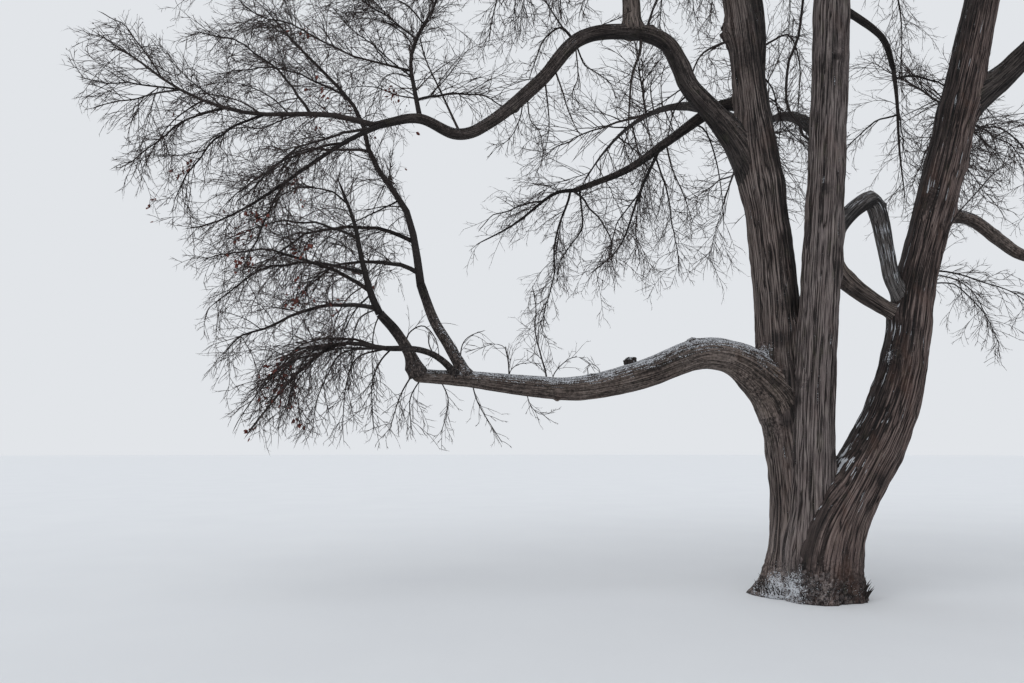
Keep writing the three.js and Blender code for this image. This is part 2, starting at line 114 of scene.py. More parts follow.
noiseDice = np.random.default_rng(11)
noiseTurns = noiseDice.permutation(256)
noiseSlopes = unit(noiseDice.normal(size=(256, 3)))


def noise(p):
    # gradient noise, about -0.7 to 0.7: each corner's slope times the way from it, blended over the cell
    cell = np.floor(p).astype(np.int64)
    f = p - cell
    w = f * f * f * (f * (f * 6 - 15) + 10)
    total = np.zeros(p.shape[:-1])
    for corner in np.ndindex(2, 2, 2):
        at = cell + corner
        turn = noiseTurns[at[..., 0] & 255]
        turn = noiseTurns[(turn + at[..., 1]) & 255]
        turn = noiseTurns[(turn + at[..., 2]) & 255]
        share = np.prod(np.where(corner, w, 1 - w), axis=-1)
        total += share * np.sum(noiseSlopes[turn] * (f - corner), axis=-1)
    return total


# Lines
def evenLine(line, step):  # the same line, cut in even steps
    gone = np.concatenate([[0], np.cumsum(np.linalg.norm(np.diff(line, axis=0), axis=1))])
    even = np.linspace(0, gone[-1], max(6, round(gone[-1] / step)) + 1)
    return np.stack([np.interp(even, gone, line[:, k]) for k in range(3)], axis=1)


def lineThrough(points, step=0.06):  # Catmull-Rom: cubic between two points, sloping as the chord past each
    p = np.array(points, float) * mm
    p = np.vstack([2 * p[0] - p[1], p, 2 * p[-1] - p[-2]])
    a, b, c, d = p[:-3], p[1:-2], p[2:-1], p[3:]
    slopeB, slopeC = (c - a) / 2, (d - b) / 2
    cuts = 60
    t = np.arange(cuts)[:, None, None] / cuts
    bend = (2 * b - 2 * c + slopeB + slopeC) * t + (3 * c - 3 * b - 2 * slopeB - slopeC)
    curve = np.swapaxes((bend * t + slopeB) * t + b, 0, 1).reshape(-1, 3)
    return evenLine(np.vstack([curve, p[-2]]), step)


def lineArc(start, length, heading, riseAtFoot, riseAtTip, steps=16):
    # even steps on one heading, with a rise that changes evenly
    rise = np.radians(mix(riseAtFoot, riseAtTip, (np.arange(steps) + 0.5) / steps))
    level = np.cos(rise)
    turn = math.radians(heading)
    step = np.stack([level * math.cos(turn), level * math.sin(turn), np.sin(rise)], axis=1) * length / steps
    return np.vstack([[0, 0, 0], np.cumsum(step, axis=0)]) + start


def lengthOf(line):
    return np.linalg.norm(np.diff(line, axis=0), axis=1).sum()


def pointOn(line, share):  # straight between the two samples round a share
    at = np.clip(share, 0, 1) * (len(line) - 1)
    return np.stack([np.interp(at, np.arange(len(line)), line[:, k]) for k in range(3)], axis=-1)


def valueAt(values, share):  # straight between values at even stations
    return np.interp(share, np.linspace(0, 1, len(values)), values)


def radiiOf(limb):  # the radius at each sample of a limb's line
    return valueAt(limb["girth"], np.linspace(0, 1, len(limb["line"]))) / 2 * mm


def squares(points, others):  # the square of the distance from each point to each other point
    return (points**2).sum(1)[:, None] + (others**2).sum(1)[None] - 2 * points @ others.T


# The limbs, in millimetres and degrees, at the CAD limbs' own points. Only the right stem's foot laps over
# the middle stem's here, and the low bough has a run along its stem. Girth is the diameter at even stations.
# Each limb's darker side, here and in the boughs below, is given as the way it faces and an amount: wet bark,
# and painted shade where a side faces away from the light or towards another stem
stems = {
    "stem_left": dict(
        through=[
            (-140, 100, 0), (-125, 100, 1040), (-225, 100, 2340), (-255, 100, 3500), (-350, 100, 4760),
            (-460, 100, 5980), (-560, 110, 7180), (-800, 160, 8600), (-1030, 230, 10100),
            (-1340, 320, 11500), (-1540, 440, 12900),
        ],
        girth=[560, 550, 520, 500, 455, 365, 350, 310, 280, 250, 220, 190],
        roots=[(182, 300, 26), (222, 250, 24), (128, 240, 26), (80, 170, 24)],
        wet=(0.95, -0.1, 0.1), wetness=1.0,
    ),
    "stem_middle": dict(
        through=[
            (-60, -140, 0), (-30, -140, 1120), (40, -190, 2280), (140, -250, 3440), (250, -280, 4590),
            (340, -320, 5750), (420, -350, 6910), (520, -360, 8400), (600, -320, 10000), (750, -220, 11800),
            (820, -100, 14000),
        ],
        girth=[500, 450, 430, 415, 410, 410, 400, 350, 320, 280, 240, 200],
        roots=[(262, 170, 22), (296, 60, 20), (228, 140, 20)],
        wet=(0.9, 0.5, 0.1), wetness=0.45,
    ),
    "stem_right": dict(
        through=[
            (5, -165, 0), (120, -160, 590), (490, -75, 1180), (845, 50, 1720), (1105, 100, 2260),
            (1290, 130, 2900), (1450, 160, 3590), (1860, 210, 4820), (2250, 250, 6060), (2620, 300, 7300),
            (3000, 360, 8600), (3300, 400, 9900), (3720, 350, 11300), (4000, 300, 12900),
        ],
        girth=[520, 600, 495, 430, 460, 430, 400, 360, 330, 290, 250, 200],
        roots=[(4, 150, 24), (318, 130, 24), (55, 200, 26), (248, 170, 26)],
        wet=(-0.85, 0.0, 0.5), wetness=0.85,
    ),
}

boughs = {
    "low_bough": dict(
        on="stem_left", nodes=["low_bough"],
        through=[
            (-300, 20, 2180), (-520, -40, 2440), (-760, -80, 2610), (-1040, -130, 2690),
            (-1360, -190, 2660), (-1950, -250, 2430), (-2630, -310, 2280), (-3190, -380, 2300),
            (-3850, -440, 2370), (-4490, -500, 2410),
        ],
        girth=[560, 480, 370, 345, 330, 300, 270, 245, 220, 185, 155, 140],
        wet=(-0.2, 0.0, 1.0), wetness=0.85,
        runIn=[(-250, 150, 1150), (-240, 140, 1500), (-200, 125, 1840), (-290, 95, 2190), (-520, 20, 2445)],
        skip=2, runGirth=0.35, blunt=0.09, flare=0.12, crust=0.35,
    ),
    "outer_riser": dict(
        on="low_bough", nodes=["outer_riser"],
        through=[(-4420, -500, 2400), (-4510, -545, 2640), (-4650, -600, 2870), (-4830, -650, 3070)],
        girth=[165, 122, 108, 95], flare=0.16, dimTip=0.9, crust=0.7,
    ),
    "inner_riser": dict(
        on="low_bough", nodes=["inner_riser"],
        through=[(-3880, -445, 2380), (-4100, -320, 2760), (-4290, -180, 3080), (-4460, -50, 3520)],
        girth=[150, 120, 112, 105], dimTip=0.85, crust=0.7,
    ),
    "low_arm": dict(
        on="low_bough", nodes=["low_arm"],
        through=[(-3960, -460, 2370), (-4170, -600, 2580), (-4400, -700, 2670), (-4730, -800, 2670)],
        girth=[85, 70, 62, 56], dimTip=0.5, crust=0.7,
    ),
    "arch": dict(
        on="stem_left", nodes=["arch_rise", "arch_crown", "arch_fall"],
        through=[
            (-400, 100, 4800), (-640, 80, 5280), (-930, 40, 5660), (-1230, -30, 5970), (-1370, -90, 6260),
            (-1550, -150, 6490), (-1950, -220, 6580), (-2580, -280, 6460), (-3070, -350, 5880),
            (-3640, -410, 5360), (-4020, -470, 5190), (-4460, -540, 5350), (-4940, -600, 5240),
        ],
        girth=[370, 330, 260, 230, 200, 180, 165, 160, 155, 140, 125, 110, 88],
        wet=(-0.5, -0.2, -0.8), wetness=0.6, dimTip=0.7, crust=0.35,
    ),
    "arch_upright": dict(
        on="arch", nodes=["arch_upright"],
        through=[
            (-1940, -200, 6560), (-1940, -150, 7030), (-1980, -120, 7900), (-2150, -80, 8900),
            (-2300, 0, 9700),
        ],
        girth=[240, 195, 180, 160, 130],
    ),
    "middle_bough": dict(
        on="stem_left", nodes=["middle_bough"],
        through=[
            (-430, 120, 5840), (-820, 340, 5860), (-1390, 530, 5510), (-1910, 710, 5190),
            (-2560, 900, 4980),
        ],
        girth=[170, 150, 115, 100, 85, 65], crust=0.5,
    ),
    "crook": dict(
        on="stem_middle", meets="stem_right", nodes=["crook_rise", "crook_fall"],
        through=[
            (190, -250, 3860), (430, -190, 4200), (680, -140, 4440), (870, -80, 4520), (985, -20, 4310),
            (1070, 40, 3900), (1150, 80, 3550), (1400, 150, 3120),
        ],
        girth=[210, 195, 190, 200, 190, 180, 170, 160],
        wet=(0.85, -0.1, -0.5), wetness=0.95,
    ),
    "brace": dict(
        on="stem_middle", meets="stem_right", nodes=["brace"],
        through=[
            (180, -260, 3860), (330, -190, 3690), (520, -110, 3540), (860, 30, 3345), (1330, 150, 3120),
        ],
        girth=[250, 230, 200, 175, 160],
    ),
    "right_bough": dict(
        on="stem_right", nodes=["right_bough"],
        through=[
            (1740, 190, 4420), (2160, 180, 4380), (2540, 220, 4120), (2840, 250, 3940), (3500, 320, 3800),
        ],
        girth=[170, 150, 140, 125, 105], crust=0.5,
    ),
    "mid_right_bough": dict(
        on="stem_middle", nodes=["mid_right_bough"],
        through=[(430, -320, 6860), (800, 0, 6940), (1290, 250, 6760), (1530, 500, 6480)],
        girth=[120, 95, 80, 65],
    ),
    "twin_leader": dict(
        on="stem_left", nodes=["twin_leader"],
        through=[
            (-470, 110, 6150), (-330, 220, 6750), (-300, 420, 7500), (-330, 760, 8400), (-450, 1150, 9300),
        ],
        girth=[300, 250, 215, 170],
    ),
    "right_leader": dict(
        on="stem_right", nodes=["right_leader"],
        through=[(2180, 240, 5760), (2720, 200, 6200), (3500, 60, 7000), (4300, -120, 8100)],
        girth=[330, 270, 225, 175],
    ),
}

# The masses of twigs: a stem through its own points, and arms as (share of the stem, length, heading, rise at
# the foot, rise at the tip). Weep is how fast the twigs turn down, for each metre.
masses = {
    "twigs_low_fan": dict(
        on="low_arm",
        through=[
            (-4730, -800, 2670), (-5190, -930, 2700), (-5560, -1050, 2420), (-5900, -1180, 1950),
            (-6040, -1290, 1700),
        ],
        girth=(54, 16), weep=0.55, reach=1100,
        arms=[(0.12, 1300, 196, 8, -62), (0.3, 1150, 235, -8, -70), (0.02, 1500, 172, 20, -50)],
    ),
    "twigs_outer_riser": dict(
        on="outer_riser",
        through=[
            (-4830, -650, 3070), (-4920, -710, 3280), (-5020, -780, 3660), (-5100, -840, 4050),
            (-5280, -900, 4520),
        ],
        girth=(92, 22), weep=0.5, reach=1300,
        arms=[
            (0.04, 1850, 206, 6, -52), (0.17, 2250, 172, 40, -24), (0.3, 1750, 196, 18, -50),
            (0.55, 1500, 180, 30, -30), (0.8, 1150, 164, 42, -35),
        ],
    ),
    "twigs_inner_riser": dict(
        on="inner_riser",
        through=[
            (-4460, -50, 3520), (-4550, 70, 4030), (-4690, 200, 4510), (-5130, 320, 5180),
            (-5390, 450, 5920), (-6240, 570, 6880), (-6720, 700, 7470),
        ],
        girth=(102, 22), weep=0.4, reach=1500,
        arms=[
            (0.03, 1700, 184, 34, -66), (0.12, 2500, 168, 30, -50), (0.3, 1100, 100, 50, -20),
            (0.42, 1900, 160, 22, -40), (0.6, 1900, 182, 36, -20), (0.8, 1500, 150, 50, 0),
        ],
    ),
    "twigs_arch_far": dict(
        on="arch",
        through=[
            (-4940, -600, 5240), (-5480, -700, 5330), (-6350, -800, 5300), (-7040, -900, 5520),
            (-7490, -1000, 5830), (-8250, -1100, 6310),
        ],
        girth=(72, 14), weep=0.25, reach=1150,
        arms=[
            (0.2, 1900, 172, 58, 22), (0.46, 1500, 196, -22, -60), (0.6, 1500, 188, 8, 2),
            (0.34, 1500, 200, -30, -72), (0.66, 1300, 170, 62, 25), (0.6, 1500, 202, -16, -46),
        ],
    ),
    "twigs_arch_near": dict(
        on="arch",
        through=[
            (-4810, -590, 5270), (-5180, -830, 4980), (-5550, -1040, 4610), (-6040, -1260, 4130),
            (-6420, -1480, 3830), (-6820, -1680, 3700),
        ],
        girth=(64, 14), weep=0.5, reach=1100,
        arms=[(0.06, 1900, 214, -14, -62), (0.22, 1600, 190, -12, -58), (0.5, 1100, 200, -60, -80)],
    ),
    "twigs_arch_top": dict(
        on="arch",
        through=[
            (-4440, -530, 5350), (-4530, -420, 5780), (-4580, -380, 6120), (-4510, -300, 6500),
            (-4300, -200, 7000), (-4260, -150, 7500),
        ],
        girth=(62, 18), weep=0.05, reach=1300,
        arms=[
            (0.3, 2500, 184, 12, 34), (0.5, 1300, 200, 40, 12), (0.75, 1500, 150, 50, 18),
            (0.12, 1250, 12, 24, -28),
        ],
    ),
    "twigs_middle_bough": dict(
        on="middle_bough",
        through=[(-2560, 900, 4980), (-2850, 970, 4950), (-3360, 1030, 4560), (-3890, 1100, 4290)],
        girth=(58, 14), weep=0.6, reach=1150,
        arms=[(0.04, 2000, 215, -70, -84), (0.3, 1150, 150, 10, -45), (0.02, 1500, 300, -30, -80)],
    ),
    "twigs_middle_hanging": dict(
        on="middle_bough",
        through=[(-1520, 600, 5380), (-1740, 760, 4890), (-1990, 900, 4220), (-2420, 1050, 3850)],
        girth=(46, 12), weep=0.7, reach=1100,
        arms=[(0.03, 1700, 40, -60, -88), (0.3, 1000, 170, -50, -74), (0.05, 1500, 100, -20, -80)],
    ),
    "twigs_right_bough": dict(
        on="right_bough",
        through=[(3500, 320, 3800), (4300, 420, 3820), (5200, 560, 3720), (6200, 760, 3400)],
        girth=(96, 16), weep=0.45, reach=1700,
    ),
    "twigs_mid_right": dict(
        on="mid_right_bough",
        through=[(1530, 500, 6480), (1660, 720, 6120), (1740, 900, 5550), (1850, 1050, 4900)],
        girth=(60, 12), weep=0.6, reach=1200,
        arms=[(0.08, 1600, 10, 20, -60), (0.25, 1300, 60, 10, -70), (0.35, 1000, 170, -10, -70)],
    ),
}

# Boughs and masses that run in one arc: (on, share, heading, bough's length, mass's length, rise at the foot,
# rise at the tip, foot's girth)
arcs = {
    "back_low": ("stem_middle", 0.385, 86, 2300, 4400, 42, -22, 170),
    "back_left": ("stem_left", 0.43, 105, 2400, 4500, 44, -20, 170),
    "back_right": ("stem_right", 0.47, 62, 2300, 4300, 38, -20, 165),
    "upper_left": ("stem_left", 0.6, 205, 2300, 4300, 42, -6, 165),
    "upper_front": ("stem_middle", 0.56, 285, 2500, 4500, 46, -14, 170),
    "upper_right": ("stem_right", 0.6, 322, 2400, 4300, 42, -8, 165),
    "upper_back_left": ("stem_left", 0.66, 147, 2100, 4100, 46, -4, 145),
    "upper_back_right": ("stem_right", 0.68, 18, 2100, 3900, 44, -2, 145),
}
highMasses = {  # straight from a stem: (on, share, heading, length, rise at the foot, rise at the tip, girth)
    "twigs_high_1": ("stem_left", 0.77, 236, 3800, 54, 14, 92),
    "twigs_high_2": ("stem_left", 0.87, 118, 3500, 58, 22, 84),
    "twigs_high_3": ("stem_middle", 0.73, 262, 3900, 54, 14, 95),
    "twigs_high_4": ("stem_middle", 0.68, 84, 4000, 52, 8, 98),
    "twigs_high_5": ("stem_middle", 0.86, 28, 3500, 58, 24, 84),
    "twigs_high_6": ("stem_right", 0.78, 58, 3800, 54, 14, 92),
    "twigs_high_7": ("stem_right", 0.88, 304, 3500, 56, 20, 84),
}
topMasses = {  # that carry a limb on: (on, length, heading, rise at the foot, rise at the tip)
    "twigs_top_left": ("stem_left", 3300, 168, 78, 60),
    "twigs_top_middle": ("stem_middle", 3600, 10, 84, 78),
    "twigs_top_right": ("stem_right", 3300, 350, 76, 58),
    "twigs_twin_leader": ("twin_leader", 3900, 100, 68, 52),
    "twigs_right_leader": ("right_leader", 4200, 350, 46, 14),
    "twigs_arch_upright": ("arch_upright", 3900, 196, 72, 40),
}
ruledMass = dict(weep=0.2, reach=2100)
arcSteps, axisSteps = 40, 14  # of a whole arc, and of each mass's stem and arms

limbs, crowns = {}, {}
belowGround = 400  # where a stem's line starts, so that its foot stands upright
for name, row in {**stems, **boughs}.items():
    below = [tuple(np.array(row["through"][0]) - (0, 0, belowGround))] if name in stems else []
    limbs[name] = {**row, "line": lineThrough(below + row["through"])}
    if name in stems:
        limbs[name]["girth"] = row["girth"][:1] + row["girth"]
    if "runIn" in row:  # the run takes the place of as many of the limb's first points as skip says
        limbs[name]["skinLine"] = lineThrough(row["runIn"] + row["through"][row["skip"] :])
        limbs[name]["run"] = lengthOf(limbs[name]["skinLine"]) - lengthOf(limbs[name]["line"])
for name, (on, share, heading, boughLength, massLength, riseAtFoot, riseAtTip, foot) in arcs.items():
    start = pointOn(limbs[on]["line"], share)
    whole = lineArc(start, (boughLength + massLength) * mm, heading, riseAtFoot, riseAtTip, arcSteps)
    cut = round(arcSteps * boughLength / (boughLength + massLength))
    girth = [1.25 * foot, foot, 0.82 * foot, 0.68 * foot]
    limbs["bough_" + name] = dict(on=on, nodes=["bough_" + name], girth=girth, line=whole[: cut + 1])
    crowns["twigs_" + name] = dict(on="bough_" + name, line=whole[cut:], girth=(0.66 * foot, 16), **ruledMass)
for name, (on, share, heading, length, riseAtFoot, riseAtTip, foot) in highMasses.items():
    line = lineArc(pointOn(limbs[on]["line"], share), length * mm, heading, riseAtFoot, riseAtTip)
    crowns[name] = dict(on=on, line=line, girth=(foot, 16), **ruledMass)
for name, (on, length, heading, riseAtFoot, riseAtTip) in topMasses.items():
    line = lineArc(pointOn(limbs[on]["line"], 1), length * mm, heading, riseAtFoot, riseAtTip)
    crowns[name] = dict(on=on, line=line, girth=(limbs[on]["girth"][-1] * 0.97, 16), **ruledMass)
for name, row in masses.items():
    crowns[name] = {**row, "line": lineThrough(row["through"])}
report(f"{len(limbs)} limbs and {len(crowns)} masses laid out")


# Materials
class Socket:  # an output that can be reckoned with: each operator adds one Math node
    def __init__(self, finish, output):
        self.finish, self.output = finish, output

    def reckon(self, operation, *others):
        return self.finish.node("Math", dict(operation=operation), dict(enumerate([self, *others])))

    def __add__(self, other):
        return self.reckon("ADD", other)

    def __radd__(self, other):
        return self.reckon("ADD", other)

    def __mul__(self, other):
        return self.reckon("MULTIPLY", other)

    def __rmul__(self, other):
        return self.reckon("MULTIPLY", other)

    def __sub__(self, other):
        return self.reckon("SUBTRACT", other)

    def __rsub__(self, other):
        return self.finish.node("Math", dict(operation="SUBTRACT"), {0: other, 1: self})


class Finish:  # a material and the nodes in it
    def __init__(self, name):
        self.material = bpy.data.materials.new(name)
        self.material.use_nodes = True
        self.tree = self.material.node_tree
        self.tree.nodes.clear()

    def node(self, kind, settings=None, sockets=None, take=0):
        made = self.tree.nodes.new("ShaderNode" + kind)
        for key, value in (settings or {}).items():
            if key == "stops":
                while len(made.color_ramp.elements) < len(value):
                    made.color_ramp.elements.new(1.0)
                for element, (place, colour) in zip(made.color_ramp.elements, value):
                    element.position, element.color = place, colour
            else:
                setattr(made, key, value)
        for key, value in (sockets or {}).items():
            if isinstance(value, Socket):
                self.tree.links.new(value.output, made.inputs[key])
            else:
                made.inputs[key].default_value = value
        return Socket(self, made.outputs[take]) if len(made.outputs) else made

    def attribute(self, name, take="Fac"):
        return self.node("Attribute", dict(attribute_name=name), take=take)

    def scaled(self, vector, by):
        return self.node("VectorMath", dict(operation="MULTIPLY"), {0: vector, 1: by})

    def noise(self, vector, by, detail=2.0, roughness=0.5):
        sockets = {"Vector": self.scaled(vector, by), "Scale": 1.0, "Detail": detail, "Roughness": roughness}
        return self.node("TexNoise", None, sockets)

    def ramp(self, factor, *stops):
        return self.node("ValToRGB", dict(stops=stops), {"Fac": factor})

    def blend(self, a, b, factor, way="MIX"):  # a Mix node's colours are its inputs 6 and 7 and its output 2
        return self.node("Mix", dict(data_type="RGBA", blend_type=way), {6: a, 7: b, 0: factor}, take=2)

    def range(self, value, low, high):  # smooth step of a value, from 0 to 1
        sockets = {0: value, 1: low, 2: high, 3: 0.0, 4: 1.0}
        return self.node("MapRange", dict(interpolation_type="SMOOTHSTEP"), sockets)

    def done(self, colour, roughness, height=None, depth=0.003, **constants):
        sockets = {"Base Color": colour, "Roughness": roughness, **constants}
        if height:
            bump = {"Height": height, "Distance": depth, "Strength": 1.0}
            sockets["Normal"] = self.node("Bump", None, bump)
        shader = self.node("BsdfPrincipled", None, sockets)
        self.node("OutputMaterial", None, {"Surface": shader})
        return self.material


def seen(red, green, blue):  # a colour of 0 to 255 as it shows on a screen, as the renderer's own
    share = np.array([red, green, blue]) / 255
    return (*np.where(share <= 0.04045, share / 12.92, ((share + 0.055) / 1.055) ** 2.4).tolist(), 1.0)


# The colours of a ridge's top, of a lighter flake on it and of a fissure, the last near black as it is partly
# painted shade in the furrow, then how green and how rusty the bark is, and how streaked its snow
barkLooks = {
    "left": dict(
        ridge=(112, 101, 97), flake=(146, 135, 129), fissure=(20, 16, 15), green=0.05, rust=0.1, streaks=2.0,
    ),
    "middle": dict(
        ridge=(113, 103, 101), flake=(148, 139, 134), fissure=(24, 20, 19), green=0.1, rust=0.08, streaks=2.0,
    ),
    "right": dict(
        ridge=(100, 86, 82), flake=(136, 121, 115), fissure=(19, 14, 13), green=0.05, rust=0.22, streaks=2.7,
    ),
    "bough": dict(
        ridge=(113, 102, 96), flake=(146, 134, 127), fissure=(22, 18, 16), green=0.05, rust=0.1, streaks=0.8,
    ),
    "bare": dict(
        ridge=(112, 108, 106), flake=(150, 148, 147), fissure=(28, 24, 23), green=0.0, rust=0.0, streaks=2.6,
    ),
    "arch": dict(
        ridge=(84, 76, 73), flake=(116, 107, 102), fissure=(17, 14, 13), green=0.08, rust=0.0, streaks=1.0,
    ),
    "upper": dict(
        ridge=(64, 58, 56), flake=(88, 81, 77), fissure=(15, 12, 12), green=0.05, rust=0.0, streaks=1.0,
    ),
}


def barkFinish(name, look):
    # fissures lie where a noise stretched along the grain is near its middle, with finer streaks beside them,
    # and give way to a crust where the bark is worn; colour goes from fissure to ridge to flake by height,
    # its near-black low end partly painted shade in the furrows, is darker where wet and where shade is
    # painted, and goes white under snow
    f = Finish("bark_" + name)
    grain, ridge = f.attribute("grain", "Vector"), f.attribute("ridge")
    snow, wet = f.attribute("snow"), f.attribute("wet")
    place = f.node("TexCoord", take="Object")
    sound = 1.0 - f.attribute("worn")
    push = f.noise(grain, (7.0, 7.0, 1.1), 2.0) - 0.5
    bent = f.node("VectorMath", dict(operation="ADD"), {0: f.scaled(grain, (45.0, 45.0, 0.6)), 1: push * 2.4})
    furrow = f.node("TexNoise", None, {"Vector": bent, "Scale": 1.0, "Detail": 1.6, "Roughness": 0.5})
    crease = f.range((furrow - 0.5).reckon("ABSOLUTE"), 0.0, 0.085)
    crease = (crease - 0.7) * (sound * 0.75 + 0.25) + 0.7
    fine = f.noise(grain, (115.0, 115.0, 4.0), 4.0, 0.68)
    crust = f.noise(place, (32.0, 32.0, 28.0), 3.0, 0.68) * 1.9 - 0.45
    fine = crust + (fine - crust) * sound
    patches = f.noise(place, (2.6, 2.6, 1.5), 3.0, 0.55)
    height = f.range(crease * 0.48 + fine * 1.25 + ridge * 0.12 - 0.55, 0.0, 0.92)
    # the low end of the ramp, near black in the furrows, is partly the bark's own darker furrow colour and
    # partly painted shade
    middle = tuple(np.array(look["ridge"]) * 0.62)
    stops = ((0.0, look["fissure"]), (0.42, middle), (0.74, look["ridge"]), (1.0, look["flake"]))
    colour = f.ramp(height, *[(at, seen(*shade)) for at, shade in stops])
    colour = f.blend(colour, (0.58, 0.52, 0.5, 1.0), f.range(patches, 0.36, 0.66) * 0.5, "MULTIPLY")
    # painted shade and wet bark: darker by the mask that the limb gives, in random patches, and a little less
    # rough there
    dark = f.range(wet + (patches - 0.5) * 0.6 + (crust - 0.5) * 0.4, 0.2, 0.78)
    colour = f.blend(colour, (0.2, 0.19, 0.195, 1.0), dark * 0.88, "MULTIPLY")
    moss = f.noise(place, (9.0, 9.0, 5.0), 4.0, 0.6)
    colour = f.blend(colour, seen(92, 98, 62), f.range(moss, 0.54, 0.7) * look["green"])
    stain = f.noise(place, (5.0, 5.0, 2.2), 3.0, 0.6)
    colour = f.blend(colour, seen(98, 70, 58), f.range(stain, 0.54, 0.7) * look["rust"])
    crumbs = f.noise(place, (75.0, 75.0, 75.0), 3.0, 0.7)
    colour = f.blend(colour, seen(168, 165, 163), f.range(crumbs, 0.62, 0.74) * (1.0 - dark * 0.6) * 0.5)
    lines = f.noise(grain, (46.0, 46.0, 2.4), 2.0, 0.6)
    streaks = sound * look["streaks"]
    drift = (lines - 0.5) * streaks + (crumbs - 0.5) * (2.5 - streaks * 0.8)
    cover = f.range(snow + drift + (0.5 - height) * 0.2, 0.5, 0.66)
    colour = f.blend(colour, seen(206, 209, 214), cover * 0.92)
    rough = 0.92 - dark * (1 - cover) * 0.25
    relief = height * 0.8 + crumbs * 0.3
    return f.done(colour, rough, relief, 0.008, **{"Specular IOR Level": 0.25})


barks = {name: barkFinish(name, look) for name, look in barkLooks.items()}


def twigFinish():  # dark brown, redder and paler towards a young tip, with small lighter specks
    f = Finish("twig_bark")
    shade, young = f.attribute("shade"), f.attribute("young")
    specks = f.noise(f.node("TexCoord", take="Object"), (70.0, 70.0, 70.0), 1.0)
    colour = f.blend(seen(25, 22, 22), seen(52, 46, 44), shade)
    colour = f.blend(colour, seen(78, 65, 62), young * 0.8)
    colour = f.blend(colour, seen(104, 97, 92), f.range(specks, 0.62, 0.74) * 0.4)
    return f.done(colour, 0.85 - young * 0.2, **{"Specular IOR Level": 0.3})


twigBark = twigFinish()


# Meshes
def meshFrom(name, points, triangles, values=None, vectors=None):
    # an object at the origin, smooth, with a point attribute for each array in values and vectors
    mesh = bpy.data.meshes.new(name)
    mesh.vertices.add(len(points))
    mesh.vertices.foreach_set("co", points.astype(np.float32).ravel())
    mesh.loops.add(triangles.size)
    mesh.loops.foreach_set("vertex_index", triangles.astype(np.int32).ravel())
    mesh.polygons.add(len(triangles))
    mesh.polygons.foreach_set("loop_start", np.arange(0, triangles.size, 3, dtype=np.int32))
    mesh.polygons.foreach_set("use_smooth", np.ones(len(triangles), bool))
    for table, kind, field in ((values, "FLOAT", "value"), (vectors, "FLOAT_VECTOR", "vector")):
        for key, value in (table or {}).items():
            attribute = mesh.attributes.new(key, kind, "POINT")
            attribute.data.foreach_set(field, value.astype(np.float32).ravel())
    mesh.update(calc_edges=True)
    piece = bpy.data.objects.new(name, mesh)
    bpy.context.scene.collection.objects.link(piece)
    return piece


def wallFaces(rings, sides):  # two triangles for each cell of a closed tube
    k, j = np.meshgrid(np.arange(rings - 1), np.arange(sides), indexing="ij")
    a, b = k * sides + j, k * sides + (j + 1) % sides
    return np.stack([a, b, b + sides, a, b + sides, a + sides], axis=-1).reshape(-1, 3)


def gridFaces(rings, sides):  # a tube's wall, and a fan at each end
    rim = np.arange(sides)
    foot = np.stack([np.full(sides, rings * sides), (rim + 1) % sides, rim], axis=1)
    last = (rings - 1) * sides
    tip = np.stack([np.full(sides, rings * sides + 1), last + rim, last + (rim + 1) % sides], axis=1)
    return np.vstack([wallFaces(rings, sides), foot, tip])


def carriedAxes(line):  # each ring's two axes, the first one carried on from the ring before it
    along = unit(np.gradient(line, axis=0))
    across = np.empty_like(line)
    last = np.array([0.0, 1.0, 0.0]) if abs(along[0, 0]) > 0.9 else np.array([1.0, 0.0, 0.0])
    for k, ahead in enumerate(along):
        last = unit(last - ahead * last.dot(ahead))
        across[k] = last
    return along, across, np.cross(along, across)


skinBatch, shootBatch = 20000, 8000  # how many points are measured at a time


def awayFrom(points, limb):  # distance from a limb's round skin, below 0 inside it
    line, radius = limb["line"], radiiOf(limb)
    along = unit(np.gradient(line, axis=0))
    flat = points.reshape(-1, 3)
    best = np.empty(len(flat))
    for start in range(0, len(flat), skinBatch):
        part = flat[start : start + skinBatch]
        near = squares(part, line).argmin(1)
        off = part - line[near]
        past = np.clip((off * along[near]).sum(1), -0.04, 0.04)
        off = off - past[:, None] * along[near]
        best[start : start + skinBatch] = np.linalg.norm(off, axis=1) - radius[near]
    return best.reshape(points.shape[:-1])


def rootReach(roots, heading, height):
    # sum over the roots of reach, fading with height and with the turn away
    total = np.zeros(heading.shape)
    for middle, reach, width in roots:
        turn = (heading - middle + 180) % 360 - 180
        total += reach * mm * np.exp(-np.maximum(height, 0) / 0.26) * np.exp(-((turn / width) ** 2))
    return total


def bell(points, place, wide):  # 1 at a place, fading over a width
    return np.exp(-(np.linalg.norm(points - place, axis=-1) / wide) ** 2)


# The bark's ridges, lumps and flutes in metres, on a limb as thick as fullGirth
barkGrain = dict(width=0.038, length=1.2, depth=0.012, fullGirth=0.5, lump=0.02, flute=0.035)
stemNames = ("left_stem", "middle_stem", "right_stem")
skins = {}


def ridges(grain, width, length):
    # ridges with a fissure along each line where a stretched noise is 0, and a finer set over them;
    # the noise is read at a place that a slower noise pushes about, so that ridges meet and part
    push = noise(grain / (width * 4.5, width * 4.5, length * 0.8)) * 0.9
    place = grain / (width, width, length) + push[..., None] * (1, 1, 0.2)
    wide = smoothStep(0.0, 0.16, np.abs(noise(place + 3.7)))
    fine = smoothStep(0.0, 0.18, np.abs(noise(place * (1.7, 1.7, 1.5) + 11.3)))
    return 0.8 * wide + 0.2 * fine


def withEnds(grid, value):  # a grid's values in one row, then one value for both end points
    return np.concatenate([grid.ravel(), [value, value]])


